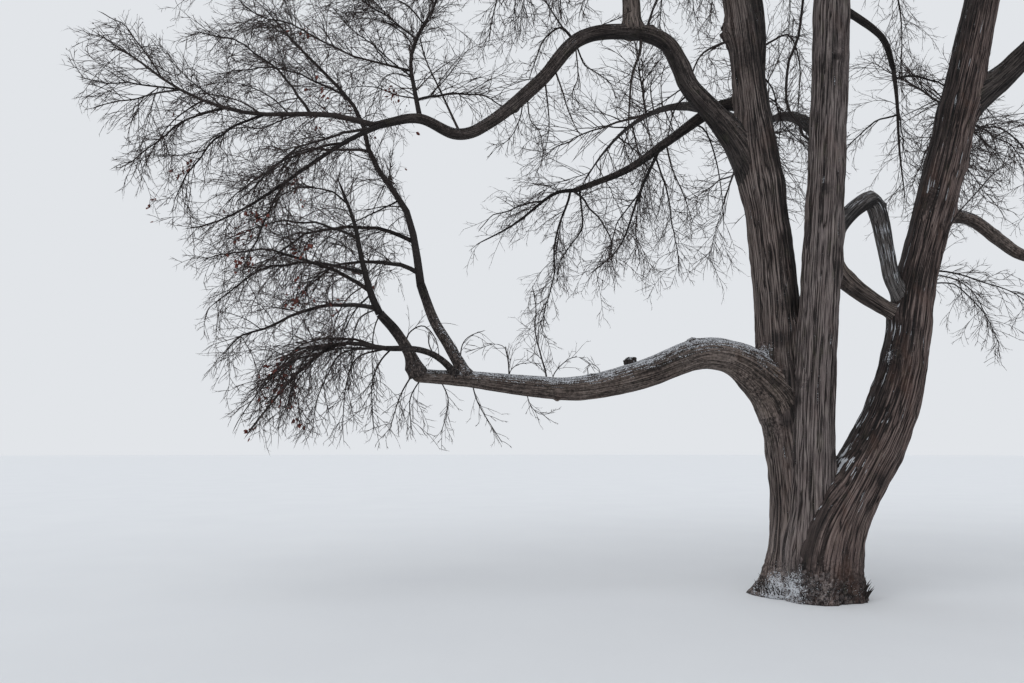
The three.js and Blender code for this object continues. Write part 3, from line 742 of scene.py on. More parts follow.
def limbPiece(name, limb, finish, sides, steps, joins=(), snow=None):
    # a tube round the limb's line: radius, roots, fillets towards the limbs it joins, lumps and ridges of
    # bark, then snow on what faces up
    line, run = limb.get("skinLine", limb["line"]), limb.get("run", 0.0)
    share = steps / lengthOf(line)
    centre = pointOn(line, share)
    along, across, over = carriedAxes(centre)
    turn = np.arange(sides) * 2 * np.pi / sides
    out = np.cos(turn)[None, :, None] * across[:, None] + np.sin(turn)[None, :, None] * over[:, None]
    radius = valueAt(limb["girth"], np.maximum(steps - run, 0) / (lengthOf(line) - run)) / 2 * mm
    if run:
        radius = radius * mix(limb["runGirth"], 1, smoothStep(0, run, steps))
    window = np.hanning(9) / np.hanning(9).sum()  # the girth's corners are smoothed over as many rings
    radius = np.convolve(np.pad(radius, 4, mode="edge"), window, mode="valid")
    heading = np.degrees(np.arctan2(out[..., 1], out[..., 0]))
    if "blunt" in limb:  # the end is rounded, as a half of a ball
        past = np.clip((steps - lengthOf(line) + limb["blunt"]) / limb["blunt"], 0, 0.98)
        radius = radius * np.sqrt(1 - past**2)
    reach = radius[:, None] + rootReach(limb.get("roots", ()), heading, centre[:, None, 2] + 0 * heading)
    skin = centre[:, None] + out * reach[..., None]
    fillet = np.zeros(reach.shape)
    nearGround = 1 - smoothStep(0.5, 1.3, centre[:, None, 2])
    for other, wide, *widest in joins:
        if widest:  # wider near the ground, where the stems are one trunk
            wide = mix(wide, widest[0], nearGround)
        near = np.maximum(wide - np.abs(awayFrom(skin, limbs[other])), 0)
        fillet = np.maximum(fillet, near**2 / (4 * wide))
    mean = max(radius[len(radius) // 3], 0.02)
    size = min((2 * mean / barkGrain["fullGirth"]) ** 0.6, 1.15)  # a thinner limb has finer bark
    around = np.stack([np.cos(turn) * mean, np.sin(turn) * mean], axis=-1)
    alongRing = np.broadcast_to(steps[:, None, None], (*reach.shape, 1))
    flow = np.concatenate([np.broadcast_to(around, (*reach.shape, 2)), alongRing], axis=-1)
    swell = np.zeros(reach.shape)
    for place, wide, high, lumpy in limb.get("bumps", ()):
        knots = 1 + lumpy * (np.abs(noise(skin / 0.05)) * 2.2 - 0.5)
        swell += high * knots * bell(skin, place, wide)
    lumps = noise(skin / 0.34 + 5.1) + 0.5 * noise(skin / 0.13 + 9.4)
    ridge = ridges(flow, barkGrain["width"] * size, barkGrain["length"] * size)
    scale = np.minimum(radius / 0.25, 1.1)[:, None]
    low = 1 - smoothStep(0.4, 3.2, centre[:, None, 2])
    flute = noise(flow / (0.15, 0.15, 1.7) + 2.3) * low * barkGrain["flute"] * (name in stemNames)
    crumble = 1 - smoothStep(0.15, 0.55, skin[..., 2])
    worn = np.maximum(1 - smoothStep(0.1, 0.6, skin[..., 2]), limb.get("crust", 0.0))
    for place, wide, much in limb.get("worn", ()):
        worn = np.maximum(worn, much * bell(skin, place, wide))
    late = smoothStep(-0.7, 0.0, steps - steps[-1])[:, None] * limb.get("dimTip", 0.0)
    crust = (noise(skin / 0.075 + 4.4) + 0.6 * noise(skin / 0.036 + 7.7)) * 0.03
    crust = crust * crumble * (name in stemNames)
    push = fillet + swell + crust + flute + lumps * barkGrain["lump"] * scale
    push = push + (ridge - 0.6) * barkGrain["depth"] * scale**0.8
    skin = skin + out * push[..., None]
    facing = unit(np.cross(np.roll(skin, -1, 1) - np.roll(skin, 1, 1), np.gradient(skin, axis=0)))
    cold = np.zeros(reach.shape)
    if snow:
        speckle = noise(skin / 0.09 + 2.2) * 0.5 + noise(skin / 0.035 + 8.8) * 0.35
        cold = smoothStep(snow["low"], snow["high"], facing[..., 2] + speckle * snow.get("patchy", 0.5))
        cold = cold * snow.get("amount", 1.0)
        for place, wide, much in limb.get("spots", ()):
            lie = much * bell(skin, place, wide)
            cold = np.maximum(cold, lie * smoothStep(-0.9, 0.2, facing[..., 2]))
        cold = cold * (1 - late)
        skin = skin + out * (cold * 0.006)[..., None]
    if name in stemNames:
        skin[..., 2] = np.maximum(skin[..., 2], 0)
        skin[0, :, 2] = 0
    skins[name] = skin
    # painted shade and wet bark: the side of the limb that faces the given way (the underside unless another
    # is given) is painted darker by the given amount, as are the listed dark places, most of them creases
    # where stems and limbs meet, and the last stretch before a dim tip
    wetAndShadeDirection = unit(np.array(limb.get("wet", (0.0, 0.0, -1.0))))
    wet = smoothStep(-0.1, 0.8, facing @ wetAndShadeDirection) * limb.get("wetness", 0.5)
    for place, wide, much in limb.get("dark", ()):
        wet = np.maximum(wet, much * bell(skin, place, wide))
    wet = np.maximum(wet, late)
    ends = np.stack([skin[0].mean(0), skin[-1].mean(0)])
    flowEnds = np.stack([flow[0].mean(0), flow[-1].mean(0)])
    values = dict(ridge=(ridge, 0.5), snow=(cold, 0), wet=(wet, 0.5), worn=(worn, 0))
    piece = meshFrom(
        name + "_bark", np.vstack([skin.reshape(-1, 3), ends]), gridFaces(len(centre), sides),
        {key: withEnds(*pair) for key, pair in values.items()},
        dict(grain=np.vstack([flow.reshape(-1, 3), flowEnds]) / size),
    )
    piece.data.materials.append(finish)
    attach(piece, "root")
    return piece


def evenSteps(limb, fine, coarseFrom=None, coarse=None, start=0.0):
    # how far along its line each ring is: fine steps, and coarse ones past a given length
    total = lengthOf(limb.get("skinLine", limb["line"]))
    first = np.arange(start, min(coarseFrom or total, total), fine)
    rest = np.arange(first[-1] + coarse, total, coarse) if coarseFrom else np.array([])
    steps = np.concatenate([first, rest])
    return np.append(steps[steps < total - fine / 2], total)


def onLimb(name, across, down, front=0.0):
    # the point of a pixel at the depth of a limb's own axis there, or nearer by a share of its radius
    limb = limbs[name]
    line, radius = limb["line"], radiiOf(limb)
    rays = np.array([spot(across, down, depth) for depth in line[:, 1]])
    near = np.linalg.norm(rays - line, axis=1).argmin()
    return spot(across, down, line[near, 1] - front * radius[near])


bumps = {  # (across, down, front share, width, height, lumpiness)
    "stem_left": [
        (722, 32, 0.1, 0.17, 0.11, 0.5), (770, 350, 0.2, 0.14, 0.03, 1.0), (746, 150, 0.6, 0.12, 0.02, 1.0),
        (766, 560, 0.5, 0.12, 0.04, 1.0), (772, 600, 0.9, 0.16, 0.03, 1.0),
        (757, 603, 1.6, 0.12, 0.03, 1.5),
    ],
    "stem_middle": [
        (836, 56, 1.0, 0.10, 0.035, 0.4), (836, 57, 1.0, 0.032, -0.06, 0.0),
        (806, 580, 1.1, 0.22, 0.05, 1.1), (836, 588, 1.1, 0.20, 0.05, 1.1),
        (786, 592, 1.0, 0.14, 0.035, 1.1), (822, 300, 0.9, 0.10, 0.02, 1.0),
        (798, 556, 0.9, 0.10, 0.04, 0.3), (812, 538, 0.9, 0.07, 0.035, 0.2),
        (784, 572, 0.9, 0.08, 0.03, 0.3),
    ],
    "stem_right": [
        (930, 106, 0.2, 0.06, 0.06, 0.6), (944, 71, 0.2, 0.035, 0.03, 0.2),
        (960, 166, 0.1, 0.10, 0.05, 0.5), (824, 492, 0.9, 0.17, 0.07, 0.1),
        (816, 520, 1.0, 0.19, 0.10, 0.1), (806, 552, 1.1, 0.19, 0.10, 0.2),
        (928, 212, 0.9, 0.10, 0.03, 1.4), (932, 188, 0.9, 0.09, -0.02, 0.3),
        (878, 380, 0.9, 0.12, 0.02, 1.0), (846, 586, 1.0, 0.14, 0.04, 1.0),
        (930, 292, 0.2, 0.03, 0.03, 0.2), (896, 357, 0.9, 0.08, 0.015, 0.8),
    ],
    "low_bough": [
        (692, 340, 0.3, 0.05, 0.035, 0.5), (557, 398, 0.4, 0.035, 0.04, 0.3),
        (590, 374, 0.4, 0.04, 0.02, 0.8), (735, 385, 0.6, 0.12, 0.025, 1.0),
        (516, 388, 0.7, 0.06, 0.015, 1.0), (654, 366, 0.9, 0.09, 0.012, 1.0),
    ],
    "right_bough": [(995, 236, 0.2, 0.05, 0.04, 0.4)],
    "arch": [
        (517, 110, 0.3, 0.05, 0.03, 0.5), (652, 26, 0.3, 0.06, 0.03, 0.8), (700, 62, 0.4, 0.07, 0.02, 0.8),
        (684, 84, 0.4, 0.06, 0.025, 0.9),
    ],
    "crook": [(884, 205, 0.1, 0.03, 0.035, 0.2), (871, 190, 0.3, 0.06, 0.02, 0.4)],
    "brace": [
        (857, 269, 0.4, 0.06, 0.035, 1.2), (848, 288, 0.5, 0.05, 0.03, 1.0),
        (872, 300, 0.5, 0.06, 0.02, 1.0),
    ],
}
snowSpots = {  # (across, down, front share, width, how much)
    "stem_left": [
        (762, 350, 0.8, 0.12, 0.62), (773, 368, 0.9, 0.10, 0.5), (788, 392, 0.9, 0.10, 0.56),
        (745, 134, 0.6, 0.12, 0.5), (776, 588, 1.2, 0.24, 0.82), (758, 596, 1.6, 0.24, 0.86),
        (768, 570, 1.0, 0.16, 0.5), (745, 146, 0.9, 0.05, 0.6),
    ],
    "stem_middle": [
        (790, 590, 1.2, 0.24, 0.8), (826, 584, 1.2, 0.22, 0.56), (806, 562, 1.0, 0.12, 0.6),
        (800, 384, 0.8, 0.06, 0.45), (812, 578, 1.1, 0.18, 0.66), (846, 590, 1.2, 0.14, 0.46),
    ],
    "stem_right": [
        (840, 450, 0.3, 0.06, 0.36), (850, 432, 0.4, 0.09, 0.44), (860, 414, 0.4, 0.11, 0.48),
        (869, 398, 0.4, 0.12, 0.5), (877, 382, 0.4, 0.12, 0.54), (886, 356, 0.5, 0.13, 0.5),
        (895, 330, 0.6, 0.10, 0.46), (931, 184, 0.8, 0.12, 0.58), (855, 590, 1.2, 0.12, 0.42),
        (808, 584, 1.2, 0.18, 0.66), (940, 106, 0.8, 0.10, 0.42),
    ],
    "low_bough": [(765, 362, 0.9, 0.10, 0.45), (740, 342, 0.4, 0.14, 0.5)],
    "arch": [(574, 50, 0.5, 0.14, 0.45), (740, 140, 0.5, 0.08, 0.45)],
    "crook": [
        (880, 212, 0.7, 0.12, 0.42), (882, 230, 0.7, 0.13, 0.52), (887, 252, 0.7, 0.13, 0.52),
        (892, 276, 0.7, 0.12, 0.46),
    ],
    "right_bough": [(965, 220, 0.5, 0.10, 0.5)],
}
shadeAndWetPlaces = {  # as for the snow: places painted darker, most of them painted shade in the creases where stems and limbs meet, and darker patches round the foot and on some limbs
    "stem_left": [
        (752, 50, 0.9, 0.5, 0.62), (750, 120, 0.9, 0.35, 0.55), (784, 380, 0.9, 0.17, 1.0),
        (790, 420, 0.9, 0.12, 0.95), (768, 356, 0.9, 0.13, 0.9), (796, 460, 0.9, 0.07, 0.8),
        (790, 300, 0.7, 0.2, 0.9), (770, 590, 1.2, 0.24, 0.8), (780, 340, 0.8, 0.14, 0.9),
        (790, 345, 0.4, 0.14, 1.2), (792, 375, 0.4, 0.14, 1.2), (791, 400, 0.4, 0.12, 1.1),
        (776, 366, 0.8, 0.12, 1.0), (790, 400, 0.8, 0.13, 1.1),
    ],
    "stem_middle": [
        (806, 586, 1.1, 0.26, 1.0), (838, 590, 1.1, 0.26, 1.0), (834, 455, 0.6, 0.10, 0.9),
        (798, 400, 0.4, 0.08, 0.8), (836, 57, 1.0, 0.05, 1.2), (826, 188, 0.9, 0.10, 0.7),
        (828, 60, 0.9, 0.8, 0.42), (793, 350, 0.5, 0.10, 1.0), (793, 380, 0.5, 0.10, 1.0),
        (791, 410, 0.5, 0.08, 0.9),
    ],
    "stem_right": [
        (862, 440, 0.6, 0.18, 0.9), (880, 480, 0.9, 0.12, 0.7), (893, 350, 0.6, 0.18, 0.85),
        (930, 130, 0.8, 0.30, 0.9), (930, 106, 0.3, 0.08, 1.2), (856, 592, 1.1, 0.2, 0.9),
        (912, 280, 0.9, 0.24, 0.85), (905, 330, 0.9, 0.26, 0.9), (828, 470, 0.8, 0.10, 0.8),
        (826, 580, 1.1, 0.2, 0.9),
    ],
    "low_bough": [(400, 374, 0.0, 0.06, 1.0)],
    "crook": [(848, 214, 0.5, 0.16, 0.75), (862, 202, 0.5, 0.10, 0.55), (900, 290, 0.4, 0.08, 0.9)],
    "brace": [(860, 290, 0.5, 0.3, 0.3)],
}
wornPlaces = {  # as for the snow: where the bark is a crust without ridges
    "stem_left": [
        (757, 418, 0.3, 0.14, 0.9), (764, 436, 0.4, 0.16, 0.7), (777, 424, 0.8, 0.15, 0.8),
        (765, 350, 0.8, 0.15, 0.9), (776, 372, 0.9, 0.13, 0.9), (788, 395, 0.9, 0.12, 0.9),
        (745, 134, 0.6, 0.12, 0.7),
    ],
    "stem_middle": [(800, 384, 0.6, 0.08, 0.7), (838, 455, 0.6, 0.07, 0.8)],
    "stem_right": [(892, 352, 0.8, 0.16, 0.9), (930, 195, 0.9, 0.14, 0.7), (838, 455, 0.5, 0.07, 0.8)],
    "low_bough": [
        (730, 385, 0.6, 0.14, 0.7), (746, 378, 0.6, 0.15, 0.9), (758, 394, 0.5, 0.15, 0.9),
        (760, 410, 0.5, 0.15, 0.8), (742, 360, 0.6, 0.12, 0.5), (763, 372, 0.6, 0.12, 0.7),
    ],
    "brace": [(857, 269, 0.4, 0.08, 0.9), (848, 288, 0.5, 0.1, 0.8)],
}
for key, table in dict(bumps=bumps, spots=snowSpots, dark=shadeAndWetPlaces, worn=wornPlaces).items():
    for name, rows in table.items():
        limbs[name][key] = [(onLimb(name, u, v, front), *rest) for u, v, front, *rest in rows]

stemPieces = {  # joins: (limb, fillet's width, its width near the ground)
    "left": dict(
        node="stem_left", sides=168,
        joins=[
            ("stem_middle", 0.08, 0.3), ("stem_right", 0.2, 0.3), ("low_bough", 0.2), ("arch", 0.22),
            ("twin_leader", 0.08), ("middle_bough", 0.1),
        ],
    ),
    "middle": dict(
        node="stem_middle", sides=152,
        joins=[("stem_left", 0.08, 0.3), ("stem_right", 0.2, 0.6), ("brace", 0.14), ("crook", 0.12)],
    ),
    "right": dict(
        node="stem_right", sides=168,
        joins=[
            ("stem_left", 0.2, 0.4), ("stem_middle", 0.5, 0.7), ("brace", 0.12), ("right_bough", 0.12),
            ("right_leader", 0.16),
        ],
    ),
}
for name, row in stemPieces.items():
    limb = limbs[row["node"]]
    steps = evenSteps(limb, 0.026, coarseFrom=7.6, coarse=0.06, start=belowGround * mm)
    snow = dict(low=0.4, high=1.0, amount=0.6, patchy=0.9)
    piece = limbPiece(name + "_stem", limb, barks[name], row["sides"], steps, row["joins"], snow)
    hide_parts("trunk", row["node"])
report("stems")

boughPieces = {  # finish, sides, step between rings
    "low_bough": ("bough", 120, 0.022), "arch": ("arch", 72, 0.03), "arch_upright": ("bough", 56, 0.035),
    "outer_riser": ("arch", 36, 0.022), "inner_riser": ("arch", 36, 0.022), "low_arm": ("upper", 28, 0.02),
    "middle_bough": ("upper", 40, 0.03), "crook": ("bare", 64, 0.024), "brace": ("bough", 64, 0.024),
    "right_bough": ("bough", 44, 0.028), "mid_right_bough": ("upper", 32, 0.03),
    "twin_leader": ("upper", 64, 0.04), "right_leader": ("upper", 64, 0.04),
}
snowAmounts = dict(low_bough=0.66, arch=0.36, crook=0.4, inner_riser=0.45, outer_riser=0.5, right_bough=0.5)
for name, limb in limbs.items():
    if name in stems:
        continue
    look, sides, step = boughPieces.get(name, ("upper", 32, 0.045))
    foot = limb["girth"][0] * mm / 2
    joins = [(limb["on"], limb.get("flare", min(max(foot * 1.1, 0.05), 0.3)))]
    if "meets" in limb:
        joins.append((limb["meets"], 0.1))
    snow = dict(low=-0.15, high=0.85, amount=snowAmounts.get(name, 0.3), patchy=0.7)
    piece = limbPiece(name, limb, barks[look], sides, evenSteps(limb, step), joins, snow)
    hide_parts(*limb["nodes"])
barkFaces = sum(len(thing.data.polygons) for thing in bpy.data.objects if thing.name.endswith("_bark"))
report(f"boughs, {barkFaces} triangles of bark")


# The growing rule of the source, on whole arrays of shoots, and carried on to finer twigs
def chance(number, use):
    # the fraction of a large sine: 0 to 1, by the shoot's number and what it is drawn for
    wave = np.abs(np.sin(number * 12.9898 + use * 78.233 + 4.137)) * 43758.5453
    return wave - np.floor(wave)


# For each kind of shoot: spacing in metres, share of the parent where the first one is, length as a share of
# the mass's reach or of the parent's capped length, what is left of it at the tip, angle in degrees, wander,
# steps, weep, cap in metres, girth at the tip, greatest girth as a share of the length, and how much further
# from the axes of other masses than from its own it has to be
columns = (
    "spacing", "first", "length", "left", "angle", "wander", "steps", "weep", "cap",
    "tip", "slender", "apart",
)
growth = {
    "arms": (0.42, 0.08, 1.02, 0.45, (42, 62), 0.16, 3, 0.0, None, 0.010, 0.024, -0.3),
    "branches": (0.30, 0.10, 0.62, 0.38, (30, 56), 0.4, 6, 0.0, None, 0.0055, 0.024, 0.07),
    "sprays": (0.14, 0.14, 0.5, 0.75, (20, 46), 0.4, 6, 0.6, None, 0.005, 0.018, -0.5),
    "hangers": (0.24, 0.1, 0.8, 0.8, (50, 85), 0.3, 7, 1.3, None, 0.005, 0.012, -0.8),
    "fillers": (0.13, 0.06, 0.5, 0.7, (30, 62), 0.36, 5, 0.2, None, 0.009, 0.022, -0.4),
    "twigs": (0.11, 0.08, 0.5, 0.6, (24, 50), 0.4, 3, 0.5, 0.85, 0.0042, 0.016, -0.8),
    "farTwigs": (0.14, 0.06, 0.5, 0.7, (26, 56), 0.4, 2, 0.25, 1.2, 0.0072, 0.022, -0.6),
    "twiglets": (0.13, 0.1, 0.46, 0.7, (24, 52), 0.5, 2, 0.6, 0.42, 0.0034, 0.03, None),
    "spurs": (0.105, 0.12, 0.4, 0.8, (26, 56), 0.0, 1, 0.0, 0.26, 0.003, 0.04, None),
    "farSpurs": (0.17, 0.12, 0.42, 0.8, (26, 56), 0.0, 1, 0.0, 0.5, 0.0048, 0.04, None),
}
growth = {kind: dict(zip(columns, row)) for kind, row in growth.items()}
smoothSteps = 7  # of a branch or a spray, once it is smooth
samplesAt = np.array([0.1, 0.25, 0.4, 0.55, 0.7, 0.85, 1.0])
lowestTwig, limbClearance = 1.1, 0.055

crownNames = list(crowns)
crownReach = np.array([crowns[name]["reach"] * mm for name in crownNames])


def shootSet(lines, foot, tip, number, crown, reach, weep):  # shoots as arrays, one for each thing they have
    length = np.linalg.norm(np.diff(lines, axis=1), axis=2).sum(1)
    return dict(
        line=lines, foot=foot, tip=tip, number=number.astype(float), crown=crown, reach=reach, weep=weep,
        length=length,
    )


def setOf(rows):  # one set from rows of line, foot, tip, number, crown, reach and weep
    return shootSet(*[np.array([row[column] for row in rows]) for column in range(7)])


def chosen(shoots, keep):
    return {key: value[keep] for key, value in shoots.items()}


def wavering(line, number, amount):  # a line pushed off by slow noise, ever more towards its tip
    share = np.linspace(0, 1, len(line))[:, None]
    push = np.stack([noise(line / 0.8 + (number * 3.1, axis * 7.7, 2.2)) for axis in range(3)], axis=1)
    kink = np.stack([noise(line / 0.23 + (number * 1.7, axis * 5.3, 9.1)) for axis in range(3)], axis=1)
    return line + (push * amount * lengthOf(line) * share + kink * 0.05 * np.minimum(share * 4, 1))


axisRows = []
for k, name in enumerate(crownNames):
    crown = crowns[name]
    girths = np.array(crown["girth"]) * mm
    own = (crown["reach"] * mm, crown["weep"])
    line = evenLine(crown["line"], lengthOf(crown["line"]) / axisSteps)[: axisSteps + 1]
    axisRows.append((line, *girths, (k + 1) * 1000, k, *own))
    for n, (share, length, heading, riseAtFoot, riseAtTip) in enumerate(crown.get("arms", ())):
        line = lineArc(pointOn(crown["line"], share), length * mm, heading, riseAtFoot, riseAtTip, axisSteps)
        line = wavering(line, n + 10 * k, growth["arms"]["wander"])
        foot = mix(*girths, share) * childGirth
        axisRows.append((line, foot, growth["arms"]["tip"], (k + 1) * 1000 + 500 + n, k, *own))
axisSet = setOf(axisRows)

samplePoints, sampleStarts = [], []
for k in range(len(crownNames)):
    sampleStarts.append(sum(len(part) for part in samplePoints))
    for line in axisSet["line"][axisSet["crown"] == k]:
        samplePoints.append(pointOn(line, samplesAt))
samplePoints = np.vstack(samplePoints)

limbPoints = np.vstack([limb["line"] for limb in limbs.values()])
limbRadii = np.concatenate([radiiOf(limb) for limb in limbs.values()])


def inSpace(points, crown, apart):
    # within reach of the mass's own axes, further from others' than from them by apart, and not too low
    fine = np.empty(len(points), bool)
    for start in range(0, len(points), shootBatch):
        part, own = points[start : start + shootBatch], crown[start : start + shootBatch]
        nearest = np.minimum.reduceat(squares(part, samplePoints), sampleStarts, axis=1)
        nearest = np.sqrt(np.maximum(nearest, 0))
        rows = np.arange(len(part))
        mine = nearest[rows, own]
        nearest[rows, own] = np.inf
        fine[start : start + shootBatch] = (mine < crownReach[own]) & (nearest.min(1) > mine + apart)
    return fine & (points[:, 2] > lowestTwig)


def clearOfLimbs(points):  # further than limbClearance from every limb's skin
    fine = np.empty(len(points), bool)
    for start in range(0, len(points), shootBatch):
        away = np.sqrt(np.maximum(squares(points[start : start + shootBatch], limbPoints), 0))
        fine[start : start + shootBatch] = (away - limbRadii > limbClearance).all(1)
    return fine


def shootsOf(parents, rule, density=None):
    # a shoot leaves its parent at an angle, on a side that turns by the golden angle from one to the next,
    # and bends step by step, by the mass's weep and by its own wander
    full = 1.0 if density is None else density[parents["crown"]]
    count = np.rint(parents["length"] * full / rule["spacing"]).astype(int)
    parent = np.repeat(np.arange(len(count)), count)
    index = np.arange(len(parent)) - np.repeat(np.cumsum(count) - count, count)
    number = parents["number"][parent] * 7 + index + 1
    crown, reach, weep = (parents[key][parent] for key in ("crown", "reach", "weep"))
    share = mix(rule["first"], 0.97, (index + 0.15 + 0.7 * chance(number, 1)) / count[parent])
    last = parents["line"].shape[1] - 1
    cell = np.minimum((share * last).astype(int), last - 1)
    before, after = parents["line"][parent, cell], parents["line"][parent, cell + 1]
    start = mix(before, after, (share * last - cell)[:, None])
    along = unit(after - before)
    across = unit(np.cross((0.0, 0.0, 1.0), along))
    over = np.cross(along, across)
    side = 360 * chance(parents["number"][parent], 2) + index * goldenAngle + 50 * (chance(number, 3) - 0.5)
    side = np.radians(side)
    angle = np.radians(mix(*rule["angle"], chance(number, 4)))
    heading = along * np.cos(angle)[:, None] + across * (np.sin(angle) * np.cos(side))[:, None]
    heading = heading + over * (np.sin(angle) * np.sin(side))[:, None]
    base = np.minimum(parents["length"][parent], rule["cap"]) if rule["cap"] else reach
    length = base * rule["length"] * mix(1, rule["left"], share) * mix(0.7, 1.15, chance(number, 5))
    step = length / rule["steps"]
    wander = rule["wander"] * (2 / rule["steps"]) ** 0.5 if rule["steps"] > 3 else rule["wander"]
    lines = [start]
    for k in range(rule["steps"]):
        lines.append(lines[-1] + heading * step[:, None])
        stray = np.stack([chance(number, 10 + 3 * k + axis) for axis in range(3)], axis=1)
        heading = heading + (stray - 0.5) * wander
        heading[:, 2] -= (weep + rule["weep"]) * step
        heading = unit(heading)
    foot = mix(parents["foot"][parent], parents["tip"][parent], share) * childGirth
    foot = np.maximum(np.minimum(foot, length * rule["slender"]), 1.4 * rule["tip"])
    tip = np.full(len(foot), rule["tip"])
    return shootSet(np.stack(lines, axis=1), foot, tip, number, crown, reach, weep)


# Gaps of the crown in the view: (across, down, half its width, half its height, share of the shoots kept)
gaps = [
    (376, 205, 20, 24, 0.4), (446, 190, 42, 66, 0.15), (470, 285, 52, 52, 0.25), (436, 62, 16, 24, 0.5),
    (582, 138, 40, 24, 0.25), (604, 205, 18, 26, 0.5), (530, 262, 16, 24, 0.4), (870, 130, 16, 34, 0.5),
    (728, 182, 16, 30, 0.15), (600, 130, 44, 20, 0.3), (742, 210, 14, 40, 0.3), (212, 208, 18, 18, 0.5),
    (345, 190, 14, 16, 0.7), (898, 175, 14, 30, 0.5), (614, 140, 32, 28, 0.35), (576, 172, 32, 22, 0.4),
    (735, 180, 20, 36, 0.4), (604, 212, 32, 24, 0.5), (880, 140, 26, 60, 0.35), (138, 98, 28, 22, 0.35),
    (458, 98, 26, 22, 0.45), (216, 216, 22, 18, 0.5), (482, 212, 20, 22, 0.55), (716, 170, 16, 20, 0.5),
]


def inView(points):  # where the camera sees each point, across and down the frame
    off = points - np.array(view["place"])
    ahead = off[..., 1] * math.cos(pitch) + off[..., 2] * math.sin(pitch)
    up = off[..., 2] * math.cos(pitch) - off[..., 1] * math.sin(pitch)
    across = view["frame"][0] / 2 + focal * off[..., 0] / np.maximum(ahead, 0.1)
    down = view["frame"][1] / 2 - focal * up / np.maximum(ahead, 0.1)
    return across, down


def outsideGaps(shoots):  # False for most of the shoots that end in a gap of the crown
    across, down = inView(shoots["line"][:, -1])
    draw = chance(shoots["number"], 43)
    fine = np.ones(len(draw), bool)
    for middle, height, halfWidth, halfHeight, share in gaps:
        here = ((across - middle) / halfWidth) ** 2 + ((down - height) / halfHeight) ** 2 < 1
        fine &= ~here | (draw < share)
    return fine


def kept(shoots, apart, only=None):
    # those that stay in their mass's space, clear of limbs and at most a hundredth past the box
    points = shoots["line"][:, 1:] if only is None else shoots["line"][:, only]
    flat = points.reshape(-1, 3)
    crown = np.repeat(shoots["crown"], points.shape[1])
    fine = inSpace(flat, crown, apart) & clearOfLimbs(flat)
    margin = 0.01 * (cadHigh - cadLow)
    fine &= ((flat > cadLow - margin) & (flat < cadHigh + margin)).all(1)
    return chosen(shoots, fine.reshape(-1, points.shape[1]).all(1) & outsideGaps(shoots))


# A mass without arms of its own grows some by the rule
armless = chosen(axisSet, np.array([not crowns[crownNames[k]].get("arms") for k in axisSet["crown"]]))
ruledArms = kept(shootsOf(armless, growth["arms"]), growth["arms"]["apart"], [2, 3])


def finer(line, steps):
    # lines of a few straight steps as smooth ones: the polynomial through the same points
    share = np.linspace(0, 1, steps + 1)
    n = line.shape[1] - 1
    spread = []
    for i in range(n + 1):
        spread.append(np.prod([(share - j / n) / ((i - j) / n) for j in range(n + 1) if j != i], axis=0))
    return np.einsum("nip,ik->nkp", line, np.stack(spread))


armLines = finer(ruledArms["line"], axisSteps)
ruledArms["line"] = np.stack([wavering(line, k + 400, 0.1) for k, line in enumerate(armLines)])
limbAxes = {key: np.concatenate([axisSet[key], ruledArms[key]]) for key in axisSet}
isSeen = np.array([name in masses for name in crownNames]).astype(float)
# How many shoots of each kind each mass has, as a share of the rule's. The masses that the view shows have
# the finer kinds, and the others have fillers and the far kinds
fullness = {name: isSeen.copy() for name in ("sprays", "hangers", "twigs", "twiglets", "spurs")}
fullness.update({name: 1 - isSeen for name in ("fillers", "farTwigs", "farSpurs")})
fullness["branches"] = mix(1.4, 1.2, isSeen)
for name, share in dict(twigs_right_bough=0.6, twigs_arch_top=0.9, twigs_mid_right=0.5).items():
    fullness["hangers"][crownNames.index(name)] = share
thicker = dict(
    twigs_low_fan=0.85, twigs_arch_top=1.7, twigs_arch_far=1.2, twigs_outer_riser=0.9, twigs_inner_riser=0.86,
    twigs_middle_hanging=0.75, twigs_mid_right=0.8,
)
for name, share in thicker.items():
    fullness["sprays"][crownNames.index(name)] *= share
    fullness["branches"][crownNames.index(name)] *= share
crownEdge = [  # the left outline of the crown in the view: (down, across)
    (-60, 40), (0, 62), (70, 60), (105, 75), (130, 100), (200, 116), (222, 150), (262, 166), (300, 182),
    (330, 188), (370, 205), (410, 212), (440, 232), (470, 300),
]


def seenSet(shoots):  # those of seen masses, and of the small limbs, which alone reach less than 1.05 m
    return (isSeen[np.minimum(shoots["crown"], len(isSeen) - 1)] > 0.5) | (shoots["reach"] < 1.05)


def insideEdge(shoots):  # no shoot of the seen masses passes the outline that the crown has in the view
    across, down = inView(shoots["line"][:, -1])
    edge = np.interp(down, *np.array(crownEdge).T) + 14 * (chance(shoots["number"], 41) - 0.6)
    fine = (across > edge) & (down < 452) & ((down > 8 + 8 * chance(shoots["number"], 42)) | (across > 165))
    return chosen(shoots, fine | (~seenSet(shoots)))


def joinedSets(*sets):
    return {key: np.concatenate([one[key] for one in sets]) for key in sets[0]}


def split(shoots, steps):  # every shoot's line as a smooth one of that many steps
    return {**shoots, "line": finer(shoots["line"], steps)}


def cutAtEdge(shoots):  # the axes of seen masses end where they would pass the crown's outline in the view
    shoots = {key: value.copy() for key, value in shoots.items()}
    across, down = inView(shoots["line"])
    past = (across < np.interp(down, *np.array(crownEdge).T) + 6) & (isSeen[shoots["crown"]] > 0.5)[:, None]
    for k in np.flatnonzero(past.any(axis=1)):
        line = shoots["line"][k]
        share = max((past[k].argmax() - 1) / (len(line) - 1), 0.3)
        shoots["line"][k] = pointOn(line, np.linspace(0, share, len(line)))
        shoots["length"][k] *= share
    return shoots


def grown(kind, parents, only=None):  # the shoots of each set of parents that are kept
    rule = growth[kind]
    return joinedSets(*[kept(shootsOf(one, rule, fullness[kind]), rule["apart"], only) for one in parents])


